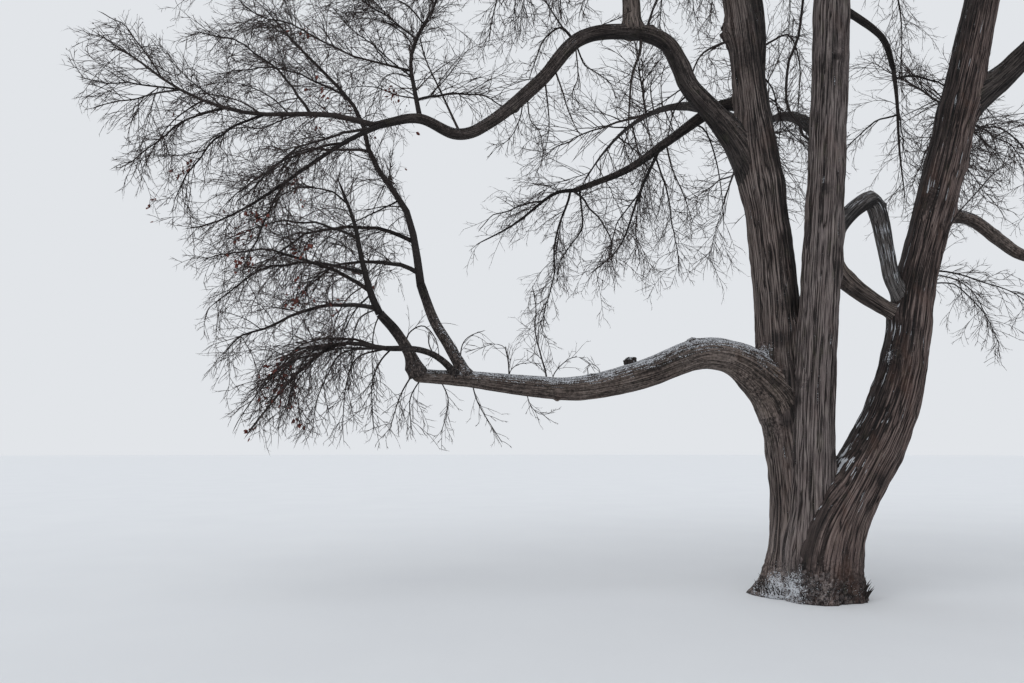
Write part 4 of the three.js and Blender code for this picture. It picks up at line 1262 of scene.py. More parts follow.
def roomy(kind, parents):  # the shoots of each set of parents with tips inside the box and clear of limbs
    shoots = joinedSets(*[shootsOf(one, growth[kind], fullness[kind]) for one in parents])
    tips = shoots["line"][:, -1]
    return chosen(shoots, ((tips > cadLow) & (tips < cadHigh)).all(1) & clearOfLimbs(tips))


limbAxes = cutAtEdge(limbAxes)
branches = insideEdge(split(grown("branches", [limbAxes]), smoothSteps))
sprays = split(grown("sprays", [limbAxes]), smoothSteps)
fillers = split(grown("fillers", [limbAxes]), smoothSteps)
sprays = insideEdge(joinedSets(sprays, fillers, grown("hangers", [limbAxes])))
twigs = insideEdge(grown("twigs", [limbAxes, branches, sprays], [2, 3]))
farTwigs = grown("farTwigs", [limbAxes, branches, sprays], [2])
twiglets = roomy("twiglets", [branches, sprays, twigs])
spurs = roomy("spurs", [twigs, twiglets])
farSpurs = roomy("farSpurs", [farTwigs])
allShoots = dict(
    axes=limbAxes, branches=branches, sprays=sprays, twigs=twigs, farTwigs=farTwigs, twiglets=twiglets,
    spurs=spurs, farSpurs=farSpurs,
)
report(", ".join(f"{len(shoots['foot'])} {kind}" for kind, shoots in allShoots.items()))


def shootMesh(shoots, sides, level):
    # a tube with a pointed tip round every line at once: rings of radius from foot to tip, sides evenly round
    line = shoots["line"]
    count, rings = line.shape[0], line.shape[1] - 1
    along = unit(np.gradient(line, axis=1))
    helper = np.where(np.abs(along[:, :1, 2:]) > 0.8, (1.0, 0.0, 0.0), (0.0, 0.0, 1.0))
    across = unit(np.cross(along, helper))
    over = np.cross(along, across)
    share = np.arange(rings) / rings
    radius = mix(shoots["foot"][:, None], shoots["tip"][:, None], share[None] ** 0.85) / 2
    turn = np.arange(sides) * 2 * np.pi / sides
    ring = np.cos(turn)[:, None] * across[:, :rings, None] + np.sin(turn)[:, None] * over[:, :rings, None]
    skin = line[:, :rings, None] + ring * radius[..., None, None]
    points = np.concatenate([skin.reshape(count, rings * sides, 3), line[:, -1:]], axis=1)
    rim = np.arange(sides)
    last = (rings - 1) * sides
    tip = np.stack([last + rim, last + (rim + 1) % sides, np.full(sides, rings * sides)], axis=1)
    fan = np.arange(1, sides - 1)
    foot = np.stack([np.zeros_like(fan), fan + 1, fan], axis=1)
    faces = np.vstack([wallFaces(rings, sides), tip, foot])
    per = rings * sides + 1
    triangles = faces[None] + (np.arange(count) * per)[:, None, None]
    shade = np.repeat(chance(shoots["number"], 31), per)
    young = np.repeat(np.full(count, level), per)
    return points.reshape(-1, 3), triangles.reshape(-1, 3), shade, young


def twigPiece(name, levels, ids):  # every level's shoots of the chosen masses in one mesh
    parts, offset = [], 0
    for shoots, sides, level in levels:
        here = chosen(shoots, np.isin(shoots["crown"], ids))
        points, triangles, shade, young = shootMesh(here, sides, level)
        parts.append((points, triangles + offset, shade, young))
        offset += len(points)
    points, triangles, shade, young = (np.concatenate([part[k] for part in parts]) for k in range(4))
    piece = meshFrom(name, points, triangles, dict(shade=shade, young=young))
    piece.data.materials.append(twigBark)
    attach(piece, "root")
    print("    ", name, len(triangles), "triangles")
    return piece


levels = [  # (shoots, sides, how young they look)
    (limbAxes, 7, 0.0), (branches, 4, 0.2), (sprays, 3, 0.35), (twigs, 3, 0.55), (farTwigs, 3, 0.5),
    (twiglets, 3, 0.8), (spurs, 3, 1.0), (farSpurs, 3, 0.8),
]
twigGroups = {
    "low_left_twigs": ["twigs_low_fan", "twigs_outer_riser"],
    "inner_left_twigs": ["twigs_inner_riser"],
    "arch_twigs": ["twigs_arch_far", "twigs_arch_near", "twigs_arch_top"],
    "middle_twigs": ["twigs_middle_bough", "twigs_middle_hanging", "twigs_mid_right", "twigs_right_bough"],
    "back_low_twigs": ["twigs_back_low", "twigs_back_left"],
    "back_right_twigs": ["twigs_back_right", "twigs_upper_back_right"],
    "front_twigs": ["twigs_upper_front", "twigs_high_3"],
    "upper_left_twigs": ["twigs_upper_left", "twigs_high_1"],
    "upper_right_twigs": ["twigs_upper_right", "twigs_right_leader"],
    "upper_back_twigs": ["twigs_upper_back_left", "twigs_high_2", "twigs_twin_leader"],
    "high_twigs": ["twigs_high_4", "twigs_high_5"],
    "high_right_twigs": ["twigs_high_6", "twigs_high_7"],
    "top_twigs": ["twigs_top_left", "twigs_top_middle", "twigs_top_right", "twigs_arch_upright"],
}
for name, members in twigGroups.items():
    piece = twigPiece(name, levels, [crownNames.index(member) for member in members])
    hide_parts(*members)
report("twigs")


# Small limbs, dead stubs and shoots where the photograph shows them, each from the axis of the limb it is on:
# (on, girth at the foot, at the tip, reach of its twigs, weep, places as (across, down, depth from the foot))
sideLimbs = [
    ("arch", 40, 12, 0.75, 0.5, [
        (639, 30, 0), (640, 52, -0.03), (632, 76, -0.06), (629, 112, -0.1), (628, 131, -0.12),
        (620, 158, -0.15),
    ]),
    ("arch", 24, 8, 0.6, 0.6, [
        (578, 45, 0), (584, 64, 0.05), (592, 70, 0.1), (610, 83, 0.15), (616, 100, 0.2),
    ]),
    ("arch", 20, 8, 0.6, 0.6, [(578, 45, 0), (578, 76, -0.05), (573, 90, -0.1), (572, 108, -0.1)]),
    ("arch", 26, 8, 0.7, 0.6, [
        (557, 68, 0), (563, 93, -0.05), (567, 107, -0.1), (574, 124, -0.12), (584, 142, -0.1),
    ]),
    ("arch", 24, 8, 0.7, 0.7, [(545, 78, 0), (548, 107, 0.08), (549, 128, 0.12), (545, 152, 0.2)]),
    ("arch", 18, 7, 0.55, 0.7, [
        (529, 95, 0), (530, 119, 0), (539, 131, -0.05), (543, 150, -0.1), (546, 168, -0.1),
    ]),
    ("arch", 18, 7, 0.6, 0.6, [(526, 98, 0), (520, 118, 0.1), (510, 138, 0.15), (494, 149, 0.2)]),
    ("arch", 30, 9, 0.7, 0.4, [
        (576, 42, 0), (563, 28, -0.05), (553, 31, -0.1), (543, 41, -0.12), (537, 56, -0.15),
        (528, 82, -0.2),
    ]),
    ("arch", 24, 9, 0.9, 0.5, [
        (576, 42, 0), (563, 28, -0.05), (546, 2, -0.1), (530, -24, -0.1), (505, -40, -0.1),
        (480, -38, -0.1),
    ]),
    ("arch", 14, 6, 0.45, 0.6, [
        (540, 75, 0), (526, 80, -0.05), (512, 85, -0.1), (503, 90, -0.1), (498, 100, -0.1),
    ]),
    ("arch", 32, 10, 0.9, 0.5, [
        (648, 30, 0), (652, 12, 0.02), (658, -2, 0.05), (670, -30, 0.1), (690, -46, 0.15), (702, -30, 0.2),
        (706, 0, 0.25),
    ]),
    ("arch", 18, 7, 0.4, 0.3, [(590, 34, 0), (598, 27, -0.1), (612, 21, -0.1), (628, 15, -0.1)]),
    ("arch", 28, 8, 0.6, 0.5, [
        (690, 92, 0), (683, 99, 0.1), (676, 107, 0.2), (671, 121, 0.3), (667, 140, 0.4),
    ]),
    ("arch", 20, 7, 0.7, 0.6, [
        (676, 90, 0), (660, 104, -0.1), (648, 110, -0.1), (637, 121, -0.1), (632, 138, -0.1),
    ]),
    ("arch", 34, 10, 0.8, 0.5, [
        (460, 128, 0), (452, 116, 0.1), (440, 90, 0.2), (426, 60, 0.3), (418, 30, 0.4),
    ]),
    ("arch_upright", 44, 10, 1.0, 0.55, [
        (622, -30, 0), (600, -52, -0.1), (570, -60, -0.2), (535, -50, -0.3), (505, -20, -0.35),
        (492, 20, -0.4), (488, 50, -0.4),
    ]),
    ("arch_upright", 40, 9, 1.0, 0.6, [
        (622, -44, 0), (604, -72, 0.2), (572, -80, 0.4), (540, -60, 0.5), (520, -20, 0.6), (512, 30, 0.65),
    ]),
    ("arch_upright", 40, 9, 0.9, 0.6, [
        (630, -40, 0), (650, -70, -0.1), (682, -80, -0.2), (706, -50, -0.25), (712, -10, -0.3),
        (710, 25, -0.3),
    ]),
    ("arch_upright", 38, 9, 1.0, 0.6, [
        (626, -66, 0), (600, -96, -0.3), (560, -100, -0.5), (500, -84, -0.7), (450, -40, -0.8),
        (424, 10, -0.85),
    ]),
    ("stem_left", 38, 12, 0.7, 0.5, [
        (728, 36, 0), (711, 48, -0.1), (699, 58, -0.1), (692, 74, 0.0), (684, 98, 0.15),
    ]),
    ("stem_left", 16, 6, 0.5, 0.8, [
        (728, 36, 0), (709, 52, -0.1), (716, 69, -0.1), (717, 86, -0.1), (714, 104, -0.1),
    ]),
    ("stem_left", 40, 10, 1.0, 0.6, [
        (740, -20, 0), (716, -52, 0.3), (690, -62, 0.5), (668, -30, 0.7), (660, 20, 0.8), (662, 60, 0.85),
    ]),
    ("stem_left", 34, 9, 0.9, 0.8, [
        (752, 60, 0), (774, 40, 0.3), (790, 36, 0.5), (800, 66, 0.7), (798, 110, 0.8), (802, 150, 0.9),
    ]),
    ("stem_left", 24, 9, 0.7, 0.8, [
        (755, 60, 0), (771, 86, 0.15), (779, 115, 0.2), (789, 131, 0.25), (806, 148, 0.3), (818, 170, 0.4),
    ]),
    ("stem_left", 18, 7, 0.6, 0.9, [
        (757, 90, 0), (778, 104, 0.2), (780, 130, 0.3), (777, 160, 0.35), (779, 185, 0.4),
    ]),
    ("stem_middle", 34, 32, 0.5, 0.6, [
        (822, 146, 0), (806, 140, 0.05), (802, 133, 0.08), (796, 116, 0.1), (788, 110, 0.12),
        (786, 90, 0.15), (789, 60, 0.15), (797, 42, 0.15), (801, 18, 0.15), (804, -20, 0.15),
        (800, -70, 0.1),
    ]),
    ("stem_middle", 36, 9, 1.0, 0.6, [
        (830, 0, 0), (850, -36, 0.3), (874, -44, 0.5), (896, -10, 0.7), (902, 40, 0.8), (898, 90, 0.85),
    ]),
    ("stem_right", 26, 8, 0.6, 0.4, [
        (924, 280, 0), (934, 272, -0.1), (941, 246, -0.15), (953, 220, -0.2), (976, 193, -0.25),
        (998, 169, -0.3), (1022, 150, -0.35),
    ]),
    ("stem_right", 26, 8, 0.8, 0.7, [
        (922, 276, 0), (938, 271, -0.1), (962, 275, -0.2), (979, 281, -0.25), (1012, 292, -0.35),
        (1040, 312, -0.4),
    ]),
    ("stem_right", 20, 7, 0.7, 0.8, [
        (922, 278, 0), (948, 277, 0.1), (970, 289, 0.2), (984, 312, 0.25), (990, 340, 0.3),
    ]),
    ("stem_right", 22, 7, 0.7, 0.8, [
        (920, 284, 0), (948, 283, 0.05), (962, 290, 0.1), (986, 316, 0.15), (1002, 352, 0.2),
    ]),
    ("stem_right", 34, 9, 1.0, 0.6, [
        (950, 150, 0), (976, 130, 0.3), (1004, 130, 0.5), (1030, 160, 0.6), (1036, 210, 0.7),
    ]),
    ("middle_bough", 30, 9, 0.7, 0.6, [
        (577, 188, 0), (581, 204, -0.05), (582, 228, -0.1), (570, 246, -0.1), (560, 262, -0.1),
        (556, 284, -0.1),
    ]),
    ("middle_bough", 26, 8, 0.5, 0.6, [
        (688, 116, 0), (706, 132, 0.15), (716, 160, 0.25), (722, 196, 0.3), (724, 230, 0.35),
    ]),
    ("middle_bough", 28, 9, 0.8, 0.6, [
        (664, 142, 0), (672, 168, -0.15), (684, 196, -0.2), (694, 226, -0.25),
    ]),
    ("low_bough", 14, 5, 0.16, 0.1, [
        (553, 386, 0), (554, 374, 0), (566, 361, 0), (577, 357, 0), (588, 362, 0), (596, 374, 0.02),
    ]),
    ("low_bough", 22, 9, 0.45, 0.1, [
        (548, 386, 0), (546, 374, 0), (541, 356, 0), (535, 330, 0), (536, 308, 0), (532, 284, 0.02),
    ]),
    ("low_bough", 18, 13, 0.0, 0.1, [(511, 384, 0), (509, 372, 0), (508, 360, 0), (505, 346, 0)]),
    ("low_bough", 11, 5, 0.14, 0.1, [
        (511, 384, 0), (510, 372, 0), (517, 365, 0), (528, 363, 0), (538, 364, 0), (546, 374, 0.02),
    ]),
    ("low_bough", 12, 5, 0.3, 0.5, [
        (511, 384, 0), (507, 352, 0), (496, 344, 0), (480, 348, 0), (463, 352, 0.02),
    ]),
    ("low_bough", 14, 9, 0.0, 0.0, [(590, 384, 0), (588, 373, 0), (587, 367, 0)]),
    ("low_bough", 12, 5, 0.3, 0.5, [(594, 384, 0), (600, 372, 0.1), (592, 364, 0.1), (584, 369, 0.1)]),
    ("low_bough", 20, 7, 0.6, 1.0, [(412, 375, 0), (402, 392, 0), (396, 408, 0), (388, 436, 0)]),
    ("low_bough", 18, 7, 0.6, 1.0, [
        (420, 377, 0), (411, 396, -0.05), (410, 414, -0.05), (413, 438, -0.05),
    ]),
    ("low_bough", 16, 7, 0.5, 1.0, [(470, 382, 0), (476, 398, 0), (484, 414, 0), (503, 444, 0)]),
    ("low_bough", 16, 7, 0.5, 1.0, [(440, 380, 0), (448, 398, 0.1), (446, 416, 0.1), (440, 436, 0.1)]),
    ("low_bough", 12, 5, 0.4, 0.6, [(526, 392, 0), (530, 404, 0), (540, 414, 0), (556, 412, 0)]),
    ("low_arm", 15, 12, 0.0, 0.0, [(430, 358, 0), (429, 344, 0), (429, 331, 0)]),
    ("low_arm", 22, 7, 0.8, 1.0, [(392, 349, 0), (380, 362, 0.05), (372, 386, 0.1), (374, 434, 0.1)]),
    ("low_arm", 24, 7, 0.85, 1.0, [(370, 346, 0), (357, 358, 0.1), (346, 386, 0.15), (342, 434, 0.15)]),
    ("low_arm", 22, 7, 0.8, 0.9, [
        (362, 345, 0), (344, 352, -0.1), (328, 374, -0.15), (316, 404, -0.2), (312, 440, -0.2),
    ]),
    ("low_arm", 24, 7, 0.85, 0.8, [
        (352, 344, 0), (330, 350, -0.2), (304, 372, -0.3), (286, 402, -0.35), (276, 436, -0.35),
    ]),
    ("twigs_low_fan", 24, 7, 0.8, 0.8, [(330, 344, 0), (312, 352, 0.2), (296, 376, 0.3), (290, 412, 0.35)]),
    ("twigs_low_fan", 26, 7, 0.8, 0.5, [
        (318, 347, 0), (290, 362, -0.15), (262, 388, -0.25), (240, 418, -0.3), (232, 434, -0.3),
    ]),
    ("twigs_outer_riser", 18, 6, 0.7, 0.9, [
        (376, 308, 0), (360, 318, -0.1), (352, 342, -0.15), (352, 380, -0.2),
    ]),
    ("twigs_outer_riser", 18, 6, 0.7, 0.9, [
        (364, 286, 0), (346, 300, -0.15), (334, 328, -0.2), (330, 372, -0.25),
    ]),
    ("twigs_inner_riser", 20, 6, 0.8, 0.8, [
        (352, 230, 0), (330, 236, -0.2), (312, 262, -0.3), (304, 310, -0.35),
    ]),
    ("twigs_arch_top", 22, 7, 0.8, 0.4, [
        (409, 80, 0), (392, 62, -0.1), (372, 44, -0.15), (350, 28, -0.2), (330, 4, -0.25),
    ]),
    ("twigs_arch_top", 20, 6, 0.75, 0.6, [
        (412, 100, 0), (396, 95, 0.1), (374, 87, 0.15), (350, 88, 0.2), (328, 100, 0.25),
    ]),
    ("twigs_arch_top", 20, 6, 0.8, 0.5, [
        (418, 50, 0), (404, 34, 0.1), (384, 22, 0.2), (362, 18, 0.3), (336, 28, 0.35),
    ]),
    ("twigs_arch_top", 20, 6, 0.8, 0.5, [
        (426, 24, 0), (408, 6, -0.1), (388, -2, -0.2), (362, 2, -0.3), (340, 14, -0.4),
    ]),
    ("twigs_arch_top", 16, 6, 0.6, 0.8, [
        (408, 76, 0), (390, 74, -0.1), (378, 88, -0.15), (370, 112, -0.15),
    ]),
    ("twigs_arch_far", 20, 6, 0.7, 0.5, [
        (262, 112, 0), (244, 103, -0.1), (222, 96, -0.2), (196, 94, -0.3), (170, 104, -0.35),
    ]),
    ("twigs_arch_far", 20, 6, 0.7, 0.4, [
        (225, 105, 0), (208, 94, 0.1), (190, 80, 0.2), (172, 62, 0.3), (158, 44, 0.35),
    ]),
    ("twigs_arch_far", 20, 6, 0.7, 0.6, [
        (205, 98, 0), (190, 108, -0.1), (172, 122, -0.2), (156, 144, -0.25), (142, 168, -0.3),
    ]),
    ("twigs_arch_far", 20, 6, 0.75, 0.6, [
        (300, 112, 0), (282, 120, 0.1), (262, 128, 0.2), (236, 128, 0.3), (212, 138, 0.35), (192, 156, 0.4),
    ]),
    ("arch_upright", 30, 8, 0.9, 0.7, [
        (624, -20, 0), (604, -34, -0.2), (580, -36, -0.35), (558, -16, -0.45), (546, 14, -0.5),
    ]),
    ("arch_upright", 28, 8, 0.8, 0.7, [
        (624, -8, 0), (610, -18, -0.2), (596, -16, -0.3), (584, 0, -0.4), (578, 20, -0.4),
    ]),
    ("arch_upright", 26, 8, 0.8, 0.7, [
        (634, -10, 0), (652, -30, 0.2), (674, -30, 0.3), (690, -10, 0.4), (696, 26, 0.4),
    ]),
    ("arch_upright", 32, 8, 1.0, 0.6, [
        (620, -60, 0), (590, -76, 0.1), (556, -60, 0.2), (532, -28, 0.3), (522, 10, 0.35), (520, 40, 0.35),
    ]),
    ("arch_upright", 30, 8, 1.0, 0.6, [
        (618, -50, 0), (596, -60, -0.1), (572, -50, -0.2), (560, -20, -0.25), (562, 20, -0.3),
    ]),
    ("stem_left", 28, 8, 0.9, 0.6, [
        (744, -30, 0), (762, -52, 0.2), (782, -36, 0.3), (790, 0, 0.4), (788, 40, 0.45),
    ]),
    ("twigs_arch_top", 22, 7, 0.85, 0.5, [(410, 60, 0), (420, 34, 0.1), (432, 14, 0.15), (440, -14, 0.2)]),
    ("twigs_arch_far", 20, 6, 0.8, 0.4, [
        (290, 110, 0), (272, 98, 0.1), (248, 86, 0.15), (222, 82, 0.2), (196, 88, 0.25),
    ]),
    ("twigs_outer_riser", 18, 6, 0.75, 0.9, [
        (378, 314, 0), (374, 330, -0.1), (372, 356, -0.15), (374, 392, -0.2),
    ]),
    ("twigs_outer_riser", 18, 6, 0.75, 0.9, [
        (370, 296, 0), (354, 312, 0.1), (342, 340, 0.15), (340, 384, 0.2),
    ]),
    ("inner_riser", 18, 7, 0.6, 0.5, [(462, 364, 0), (462, 346, 0.05), (470, 336, 0.1), (486, 330, 0.1)]),
    ("outer_riser", 20, 7, 0.6, 0.8, [
        (400, 350, 0), (410, 332, 0.05), (424, 326, 0.1), (436, 340, 0.12), (440, 362, 0.15),
    ]),
]
stumps = [  # (on, girth, where the middle of the cut is seen, how far behind the limb's axis)
    ("low_bough", 135, (629, 358), 0.06), ("stem_right", 78, (970, 160), -0.05),
]


axisLines = {name: row["line"] for name, row in {**crowns, **limbs}.items()}
sideRows = []
for k, (on, foot, tip, reach, weep, places) in enumerate(sideLimbs):
    start = axisLines[on]
    (firstAcross, firstDown, _), *others = places
    rays = np.array([spot(firstAcross, firstDown, depth) for depth in start[:, 1]])
    first = start[np.linalg.norm(rays - start, axis=1).argmin()]
    points = [first] + [spot(u, v, first[1] + off) for u, v, off in others]
    line = pointOn(lineThrough(np.array(points) / mm, 0.02), np.linspace(0, 1, 19))
    sideRows.append((line, foot * mm, tip * mm, firstSideNumber + 100 * k, k, reach, weep))
sideAxes = setOf(sideRows)


def keptBeside(shoots):  # those with tips clear of limbs, above the lowest twig and in the box
    tips = shoots["line"][:, -1]
    fine = clearOfLimbs(tips) & (tips[:, 2] > lowestTwig) & ((tips > cadLow) & (tips < cadHigh)).all(1)
    return insideEdge(chosen(shoots, fine & outsideGaps(shoots)))


budding = chosen(sideAxes, sideAxes["reach"] > 0)
longer = chosen(budding, budding["reach"] > 0.55)
sprayRule = {**growth["sprays"], "first": 0.22, "spacing": 0.13, "length": 0.6}
hangerRule = {**growth["hangers"], "first": 0.3, "spacing": 0.36}
sideSprays = split(keptBeside(shootsOf(budding, sprayRule)), smoothSteps)
sideBranches = joinedSets(sideSprays, keptBeside(shootsOf(longer, hangerRule)))


def grownBeside(kind, parents):  # the shoots of each set of parents that are kept beside the masses
    return joinedSets(*[keptBeside(shootsOf(one, growth[kind])) for one in parents])


sideTwigs = grownBeside("twigs", [budding, sideBranches])
sideTwiglets = grownBeside("twiglets", [sideBranches, sideTwigs])
sideSpurs = grownBeside("spurs", [sideTwiglets])
sideLevels = [
    (sideAxes, 8, 0.0), (sideBranches, 3, 0.3), (sideTwigs, 3, 0.55), (sideTwiglets, 3, 0.8),
    (sideSpurs, 3, 1.0),
]
sideGroups = {  # by the limb that carries them
    "arch_side_limbs": ["arch"], "upright_side_limbs": ["arch_upright", "middle_bough"],
    "stem_side_limbs": ["stem_left", "stem_middle"], "right_side_limbs": ["stem_right"],
    "low_side_limbs": ["low_bough", "low_arm", "inner_riser", "outer_riser", "twigs_low_fan"],
    "far_side_limbs": ["twigs_arch_top", "twigs_arch_far", "twigs_inner_riser", "twigs_outer_riser"],
}
for name, members in sideGroups.items():
    twigPiece(name, sideLevels, [k for k, row in enumerate(sideLimbs) if row[0] in members])
report("small limbs and shoots")

for k, (on, girth, place, behind) in enumerate(stumps):
    foot = onLimb(on, *place)
    line = limbs[on]["line"]
    axis = line[np.linalg.norm(line - foot, axis=1).argmin()]
    tip = spot(*place, axis[1] + behind)
    long = np.stack([mix(axis, tip, share) for share in np.linspace(0, 1, 8)])
    knob = (tip, girth * mm * 0.6, girth * mm * 0.16, 2.0)
    girths = [girth * 1.15, girth, girth, girth * 0.95]
    stump = dict(line=long, girth=girths, blunt=girth * mm * 0.3, bumps=[knob])
    snow = dict(low=0.1, high=0.7, amount=0.7)
    limbPiece(f"stump_{k + 1}", stump, barks["upper"], 36, np.linspace(0, lengthOf(long), 22), snow=snow)


# Short shoots round the foot, dried leaves and fruit
footShoots = [  # (stem, headings from and to, highest foot, how many, shortest, longest)
    ("left_stem", 190, 240, 0.14, 44, 0.04, 0.12), ("middle_stem", 215, 335, 0.3, 60, 0.03, 0.07),
    ("right_stem", 300, 345, 0.12, 22, 0.06, 0.17),
]
rows = []
for name, fromHeading, toHeading, highest, count, shortest, longest in footShoots:
    skin = skins[name]
    rings = np.flatnonzero((skin[:, 0, 2] > 0.0) & (skin[:, 0, 2] < highest))
    number = np.arange(count) + 200 * len(rows) + 7000
    ring = rings[(chance(number, 71) ** 1.6 * len(rings)).astype(int)]
    wall = skin[ring]
    centre = wall.mean(1, keepdims=True)
    heading = np.degrees(np.arctan2(*(wall - centre)[..., 1::-1].transpose(2, 0, 1)))
    aim = mix(fromHeading, toHeading, chance(number, 72))[:, None]
    column = np.abs((heading - aim + 180) % 360 - 180).argmin(1)
    start = wall[np.arange(count), column]
    away = unit((start - centre[:, 0]) * (1, 1, 0))
    start = start - away * 0.015
    length = mix(shortest, longest, chance(number, 73))[:, None]
    lean = away * mix(0.05, 0.45, chance(number, 74))[:, None] + (0, 0, 1.0)
    stray = np.stack([chance(number, 75) - 0.5, chance(number, 76) - 0.5, 0 * length[:, 0]], axis=1) * 0.7
    share = np.linspace(0, 1, 4)[None, :, None]
    path = unit(lean + stray)[:, None] * share + away[:, None] * share**2 * 0.25
    lines = start[:, None] + path * length[:, None]
    for line, size, n in zip(lines, length[:, 0], number):
        rows.append((line, 0.045 * size**0.5, 0.006, float(n), 0, 1.0, 0.0))
twigPiece("foot_shoots", [(setOf(rows), 5, 0.1)], [0])


leafPlaces = [  # where the photograph shows dried leaves hanging together
    (185, 164), (148, 200), (148, 214), (252, 117), (292, 183), (243, 233), (308, 205), (238, 261),
    (248, 261), (306, 249), (353, 267), (368, 287), (248, 337), (283, 367), (292, 343), (333, 349),
    (300, 422), (250, 437), (327, 434), (321, 88), (337, 85), (341, 119), (393, 94), (419, 144), (438, 152),
    (424, 161), (309, 38), (300, 129),
]


def tipsOf(*sets):  # where each shoot ends, which way it points there, and its number
    tips = np.concatenate([one["line"][:, -1] for one in sets])
    ahead = np.concatenate([unit(one["line"][:, -1] - one["line"][:, -2]) for one in sets])
    return tips, ahead, np.concatenate([one["number"] for one in sets])


def clustersOf(tips, ahead, dice, seeds, wide, use, share):  # the tips round each seed, a share of them
    fine = np.zeros(len(tips), bool)
    for seed in seeds:
        fine |= np.linalg.norm(tips - tips[seed], axis=1) < wide * mix(0.6, 1.2, chance(dice[seed], use))
    fine &= chance(dice, use + 1) < share
    return tips[fine], ahead[fine], dice[fine]


def seenAt(tips, places):  # the tip nearest to each place of the view
    across, down = inView(tips)
    return [np.hypot(across - u, down - v).argmin() for u, v in places]


def smallMesh(name, tips, shape, size, finish):
    # one low shape at each place, its first axis along the shoot and its others turned by chance, in one mesh
    place, ahead, dice = tips
    fall = np.stack([chance(dice, 81) - 0.5, chance(dice, 82) - 0.5, -0.9 - chance(dice, 83)], axis=1)
    droop = unit(ahead + fall * 0.7)
    aside = np.stack([chance(dice, 84) - 0.5, chance(dice, 85) - 0.5, chance(dice, 86)], axis=1)
    side = unit(np.cross(droop, aside))
    over = np.cross(droop, side)
    turned = np.stack([droop, side, over], axis=1) * mix(*size, chance(dice, 87))[:, None, None]
    corners, faces = (np.array(part) for part in shape)
    points = place[:, None] + np.einsum("vk,nkc->nvc", corners, turned)
    triangles = faces[None] + (np.arange(len(place)) * len(corners))[:, None, None]
    shade = np.repeat(chance(dice, 88), len(corners))
    piece = meshFrom(name, points.reshape(-1, 3), triangles.reshape(-1, 3), dict(shade=shade))
    piece.data.materials.append(finish)
    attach(piece, "root")
    print("    ", name, len(place), "of them")


def dryFinish(name, dark, light):  # between two browns, piece by piece and in small specks
    f = Finish(name)
    place = f.node("TexCoord", take="Object")
    shade = f.attribute("shade") * 0.7 + f.noise(place, (160.0, 160.0, 160.0), 2.0) * 0.5 - 0.1
    return f.done(f.blend(seen(*dark), seen(*light), shade), 0.8, **{"Specular IOR Level": 0.2})


driedLeaf = (  # a blade, bent along its rib and curled at its tip, with its corners and its faces
    [(0, 0, 0), (0.35, 0.34, -0.14), (0.35, -0.34, -0.14), (1.0, 0.04, -0.3), (0.42, 0, 0.06),
     (0.42, 0, -0.02), (0.72, 0.26, -0.26), (0.72, -0.24, -0.24)],
    [(0, 4, 1), (1, 4, 6), (6, 4, 3), (3, 4, 7), (7, 4, 2), (2, 4, 0),
     (0, 1, 5), (1, 6, 5), (6, 3, 5), (3, 7, 5), (7, 2, 5), (2, 0, 5)],
)
driedFruit = (  # a small round nut, longer than it is wide
    [(0, 0, 0), (0.5, 0.4, 0), (0.5, 0, 0.4), (0.5, -0.4, 0), (0.5, 0, -0.4), (1, 0, 0)],
    [(0, 2, 1), (0, 3, 2), (0, 4, 3), (0, 1, 4), (5, 1, 2), (5, 2, 3), (5, 3, 4), (5, 4, 1)],
)
leafDry = dryFinish("dried_leaf", (98, 52, 47), (140, 86, 76))
fruitDry = dryFinish("dried_fruit", (34, 27, 25), (60, 46, 42))
nearTips = tipsOf(*[chosen(shoots, isSeen[shoots["crown"]] > 0.5) for shoots in (twiglets, spurs)])
allTips = tipsOf(twiglets, spurs, farSpurs)
seeds = seenAt(nearTips[0], leafPlaces)
leafSeeds = np.flatnonzero(chance(allTips[2], 63) < 0.0006)
fruitSeeds = np.flatnonzero(chance(allTips[2], 66) < 0.004)
seenLeaves = clustersOf(*nearTips, seeds, 0.13, 61, 0.42)
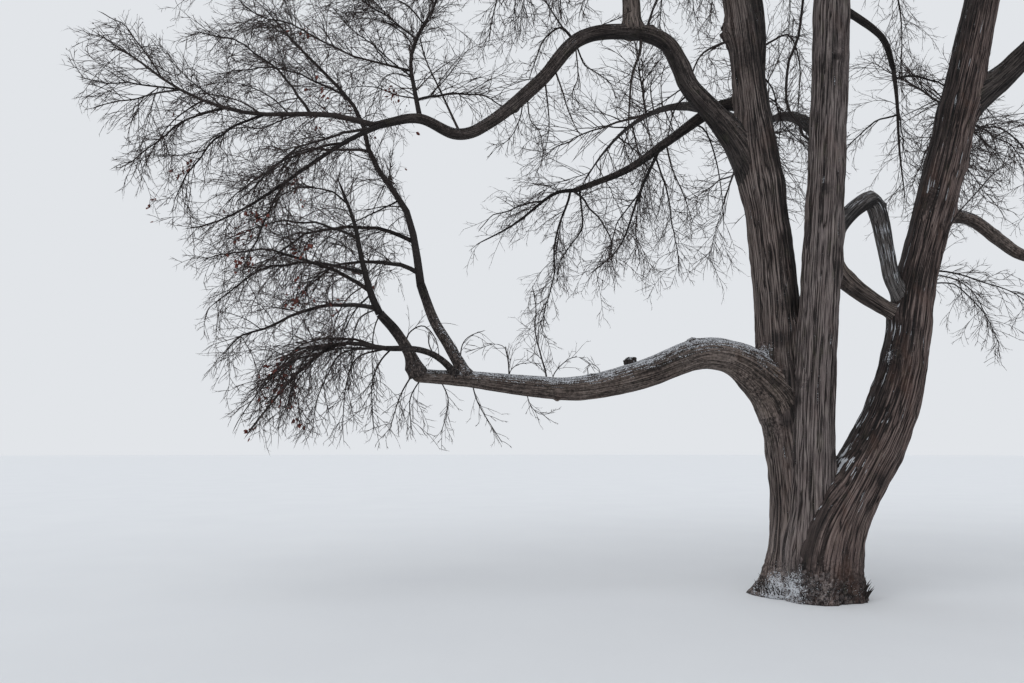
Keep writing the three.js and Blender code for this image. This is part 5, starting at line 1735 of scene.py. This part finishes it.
leaves = [np.concatenate(part) for part in zip(seenLeaves, clustersOf(*allTips, leafSeeds, 0.14, 64, 0.3))]
fruit = clustersOf(*allTips, fruitSeeds, 0.10, 67, 0.3)
smallMesh("dried_leaves", leaves, driedLeaf, (0.034, 0.06), leafDry)
smallMesh("dried_fruit", fruit, driedFruit, (0.016, 0.026), fruitDry)
report("foot shoots, dried leaves and fruit")


# Floor, light and camera
def paleFloor():  # nearly white, in slow, faint patches
    f = Finish("pale_floor")
    tone = f.noise(f.node("TexCoord", take="Object"), (0.6, 0.6, 0.6), 2.0)
    return f.done(f.blend(seen(226, 228, 231), seen(232, 234, 236), tone), 0.9, **{"Specular IOR Level": 0.1})


floorSides, floorRadius, floorHeight = 96, 260, -0.002
column = np.arange(floorSides)
turn = column * 2 * np.pi / floorSides
rim = np.stack([np.cos(turn) * floorRadius, np.sin(turn) * floorRadius, 0 * turn + floorHeight], axis=1)
floorFaces = np.stack([0 * column + floorSides, column, (column + 1) % floorSides], axis=1)
floor = meshFrom("floor", np.vstack([rim, [[0, 0, floorHeight]]]), floorFaces)
floor.data.materials.append(paleFloor())
floor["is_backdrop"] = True

world = bpy.data.worlds.new("soft_sky")
world.use_nodes = True
world.node_tree.nodes["Background"].inputs["Color"].default_value = seen(226, 229, 233)
world.node_tree.nodes["Background"].inputs["Strength"].default_value = 1.0
bpy.context.scene.world = world

sun = bpy.data.objects.new("soft_light", bpy.data.lights.new("soft_light", "SUN"))
sun.data.energy = 0.6
sun.data.angle = math.radians(60)
sun.rotation_euler = (math.radians(38), 0, math.radians(-40))
bpy.context.scene.collection.objects.link(sun)

camera = bpy.data.objects.new("camera", bpy.data.cameras.new("camera"))
camera.data.lens, camera.data.sensor_width = view["lens"], view["sensor"]
camera.data.clip_end = 600
camera.location = view["place"]
camera.rotation_euler = (math.radians(90 + view["pitch"]), 0, 0)
bpy.context.scene.collection.objects.link(camera)
bpy.context.scene.camera = camera
bpy.context.scene.view_settings.view_transform = "Standard"

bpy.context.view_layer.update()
report("done")
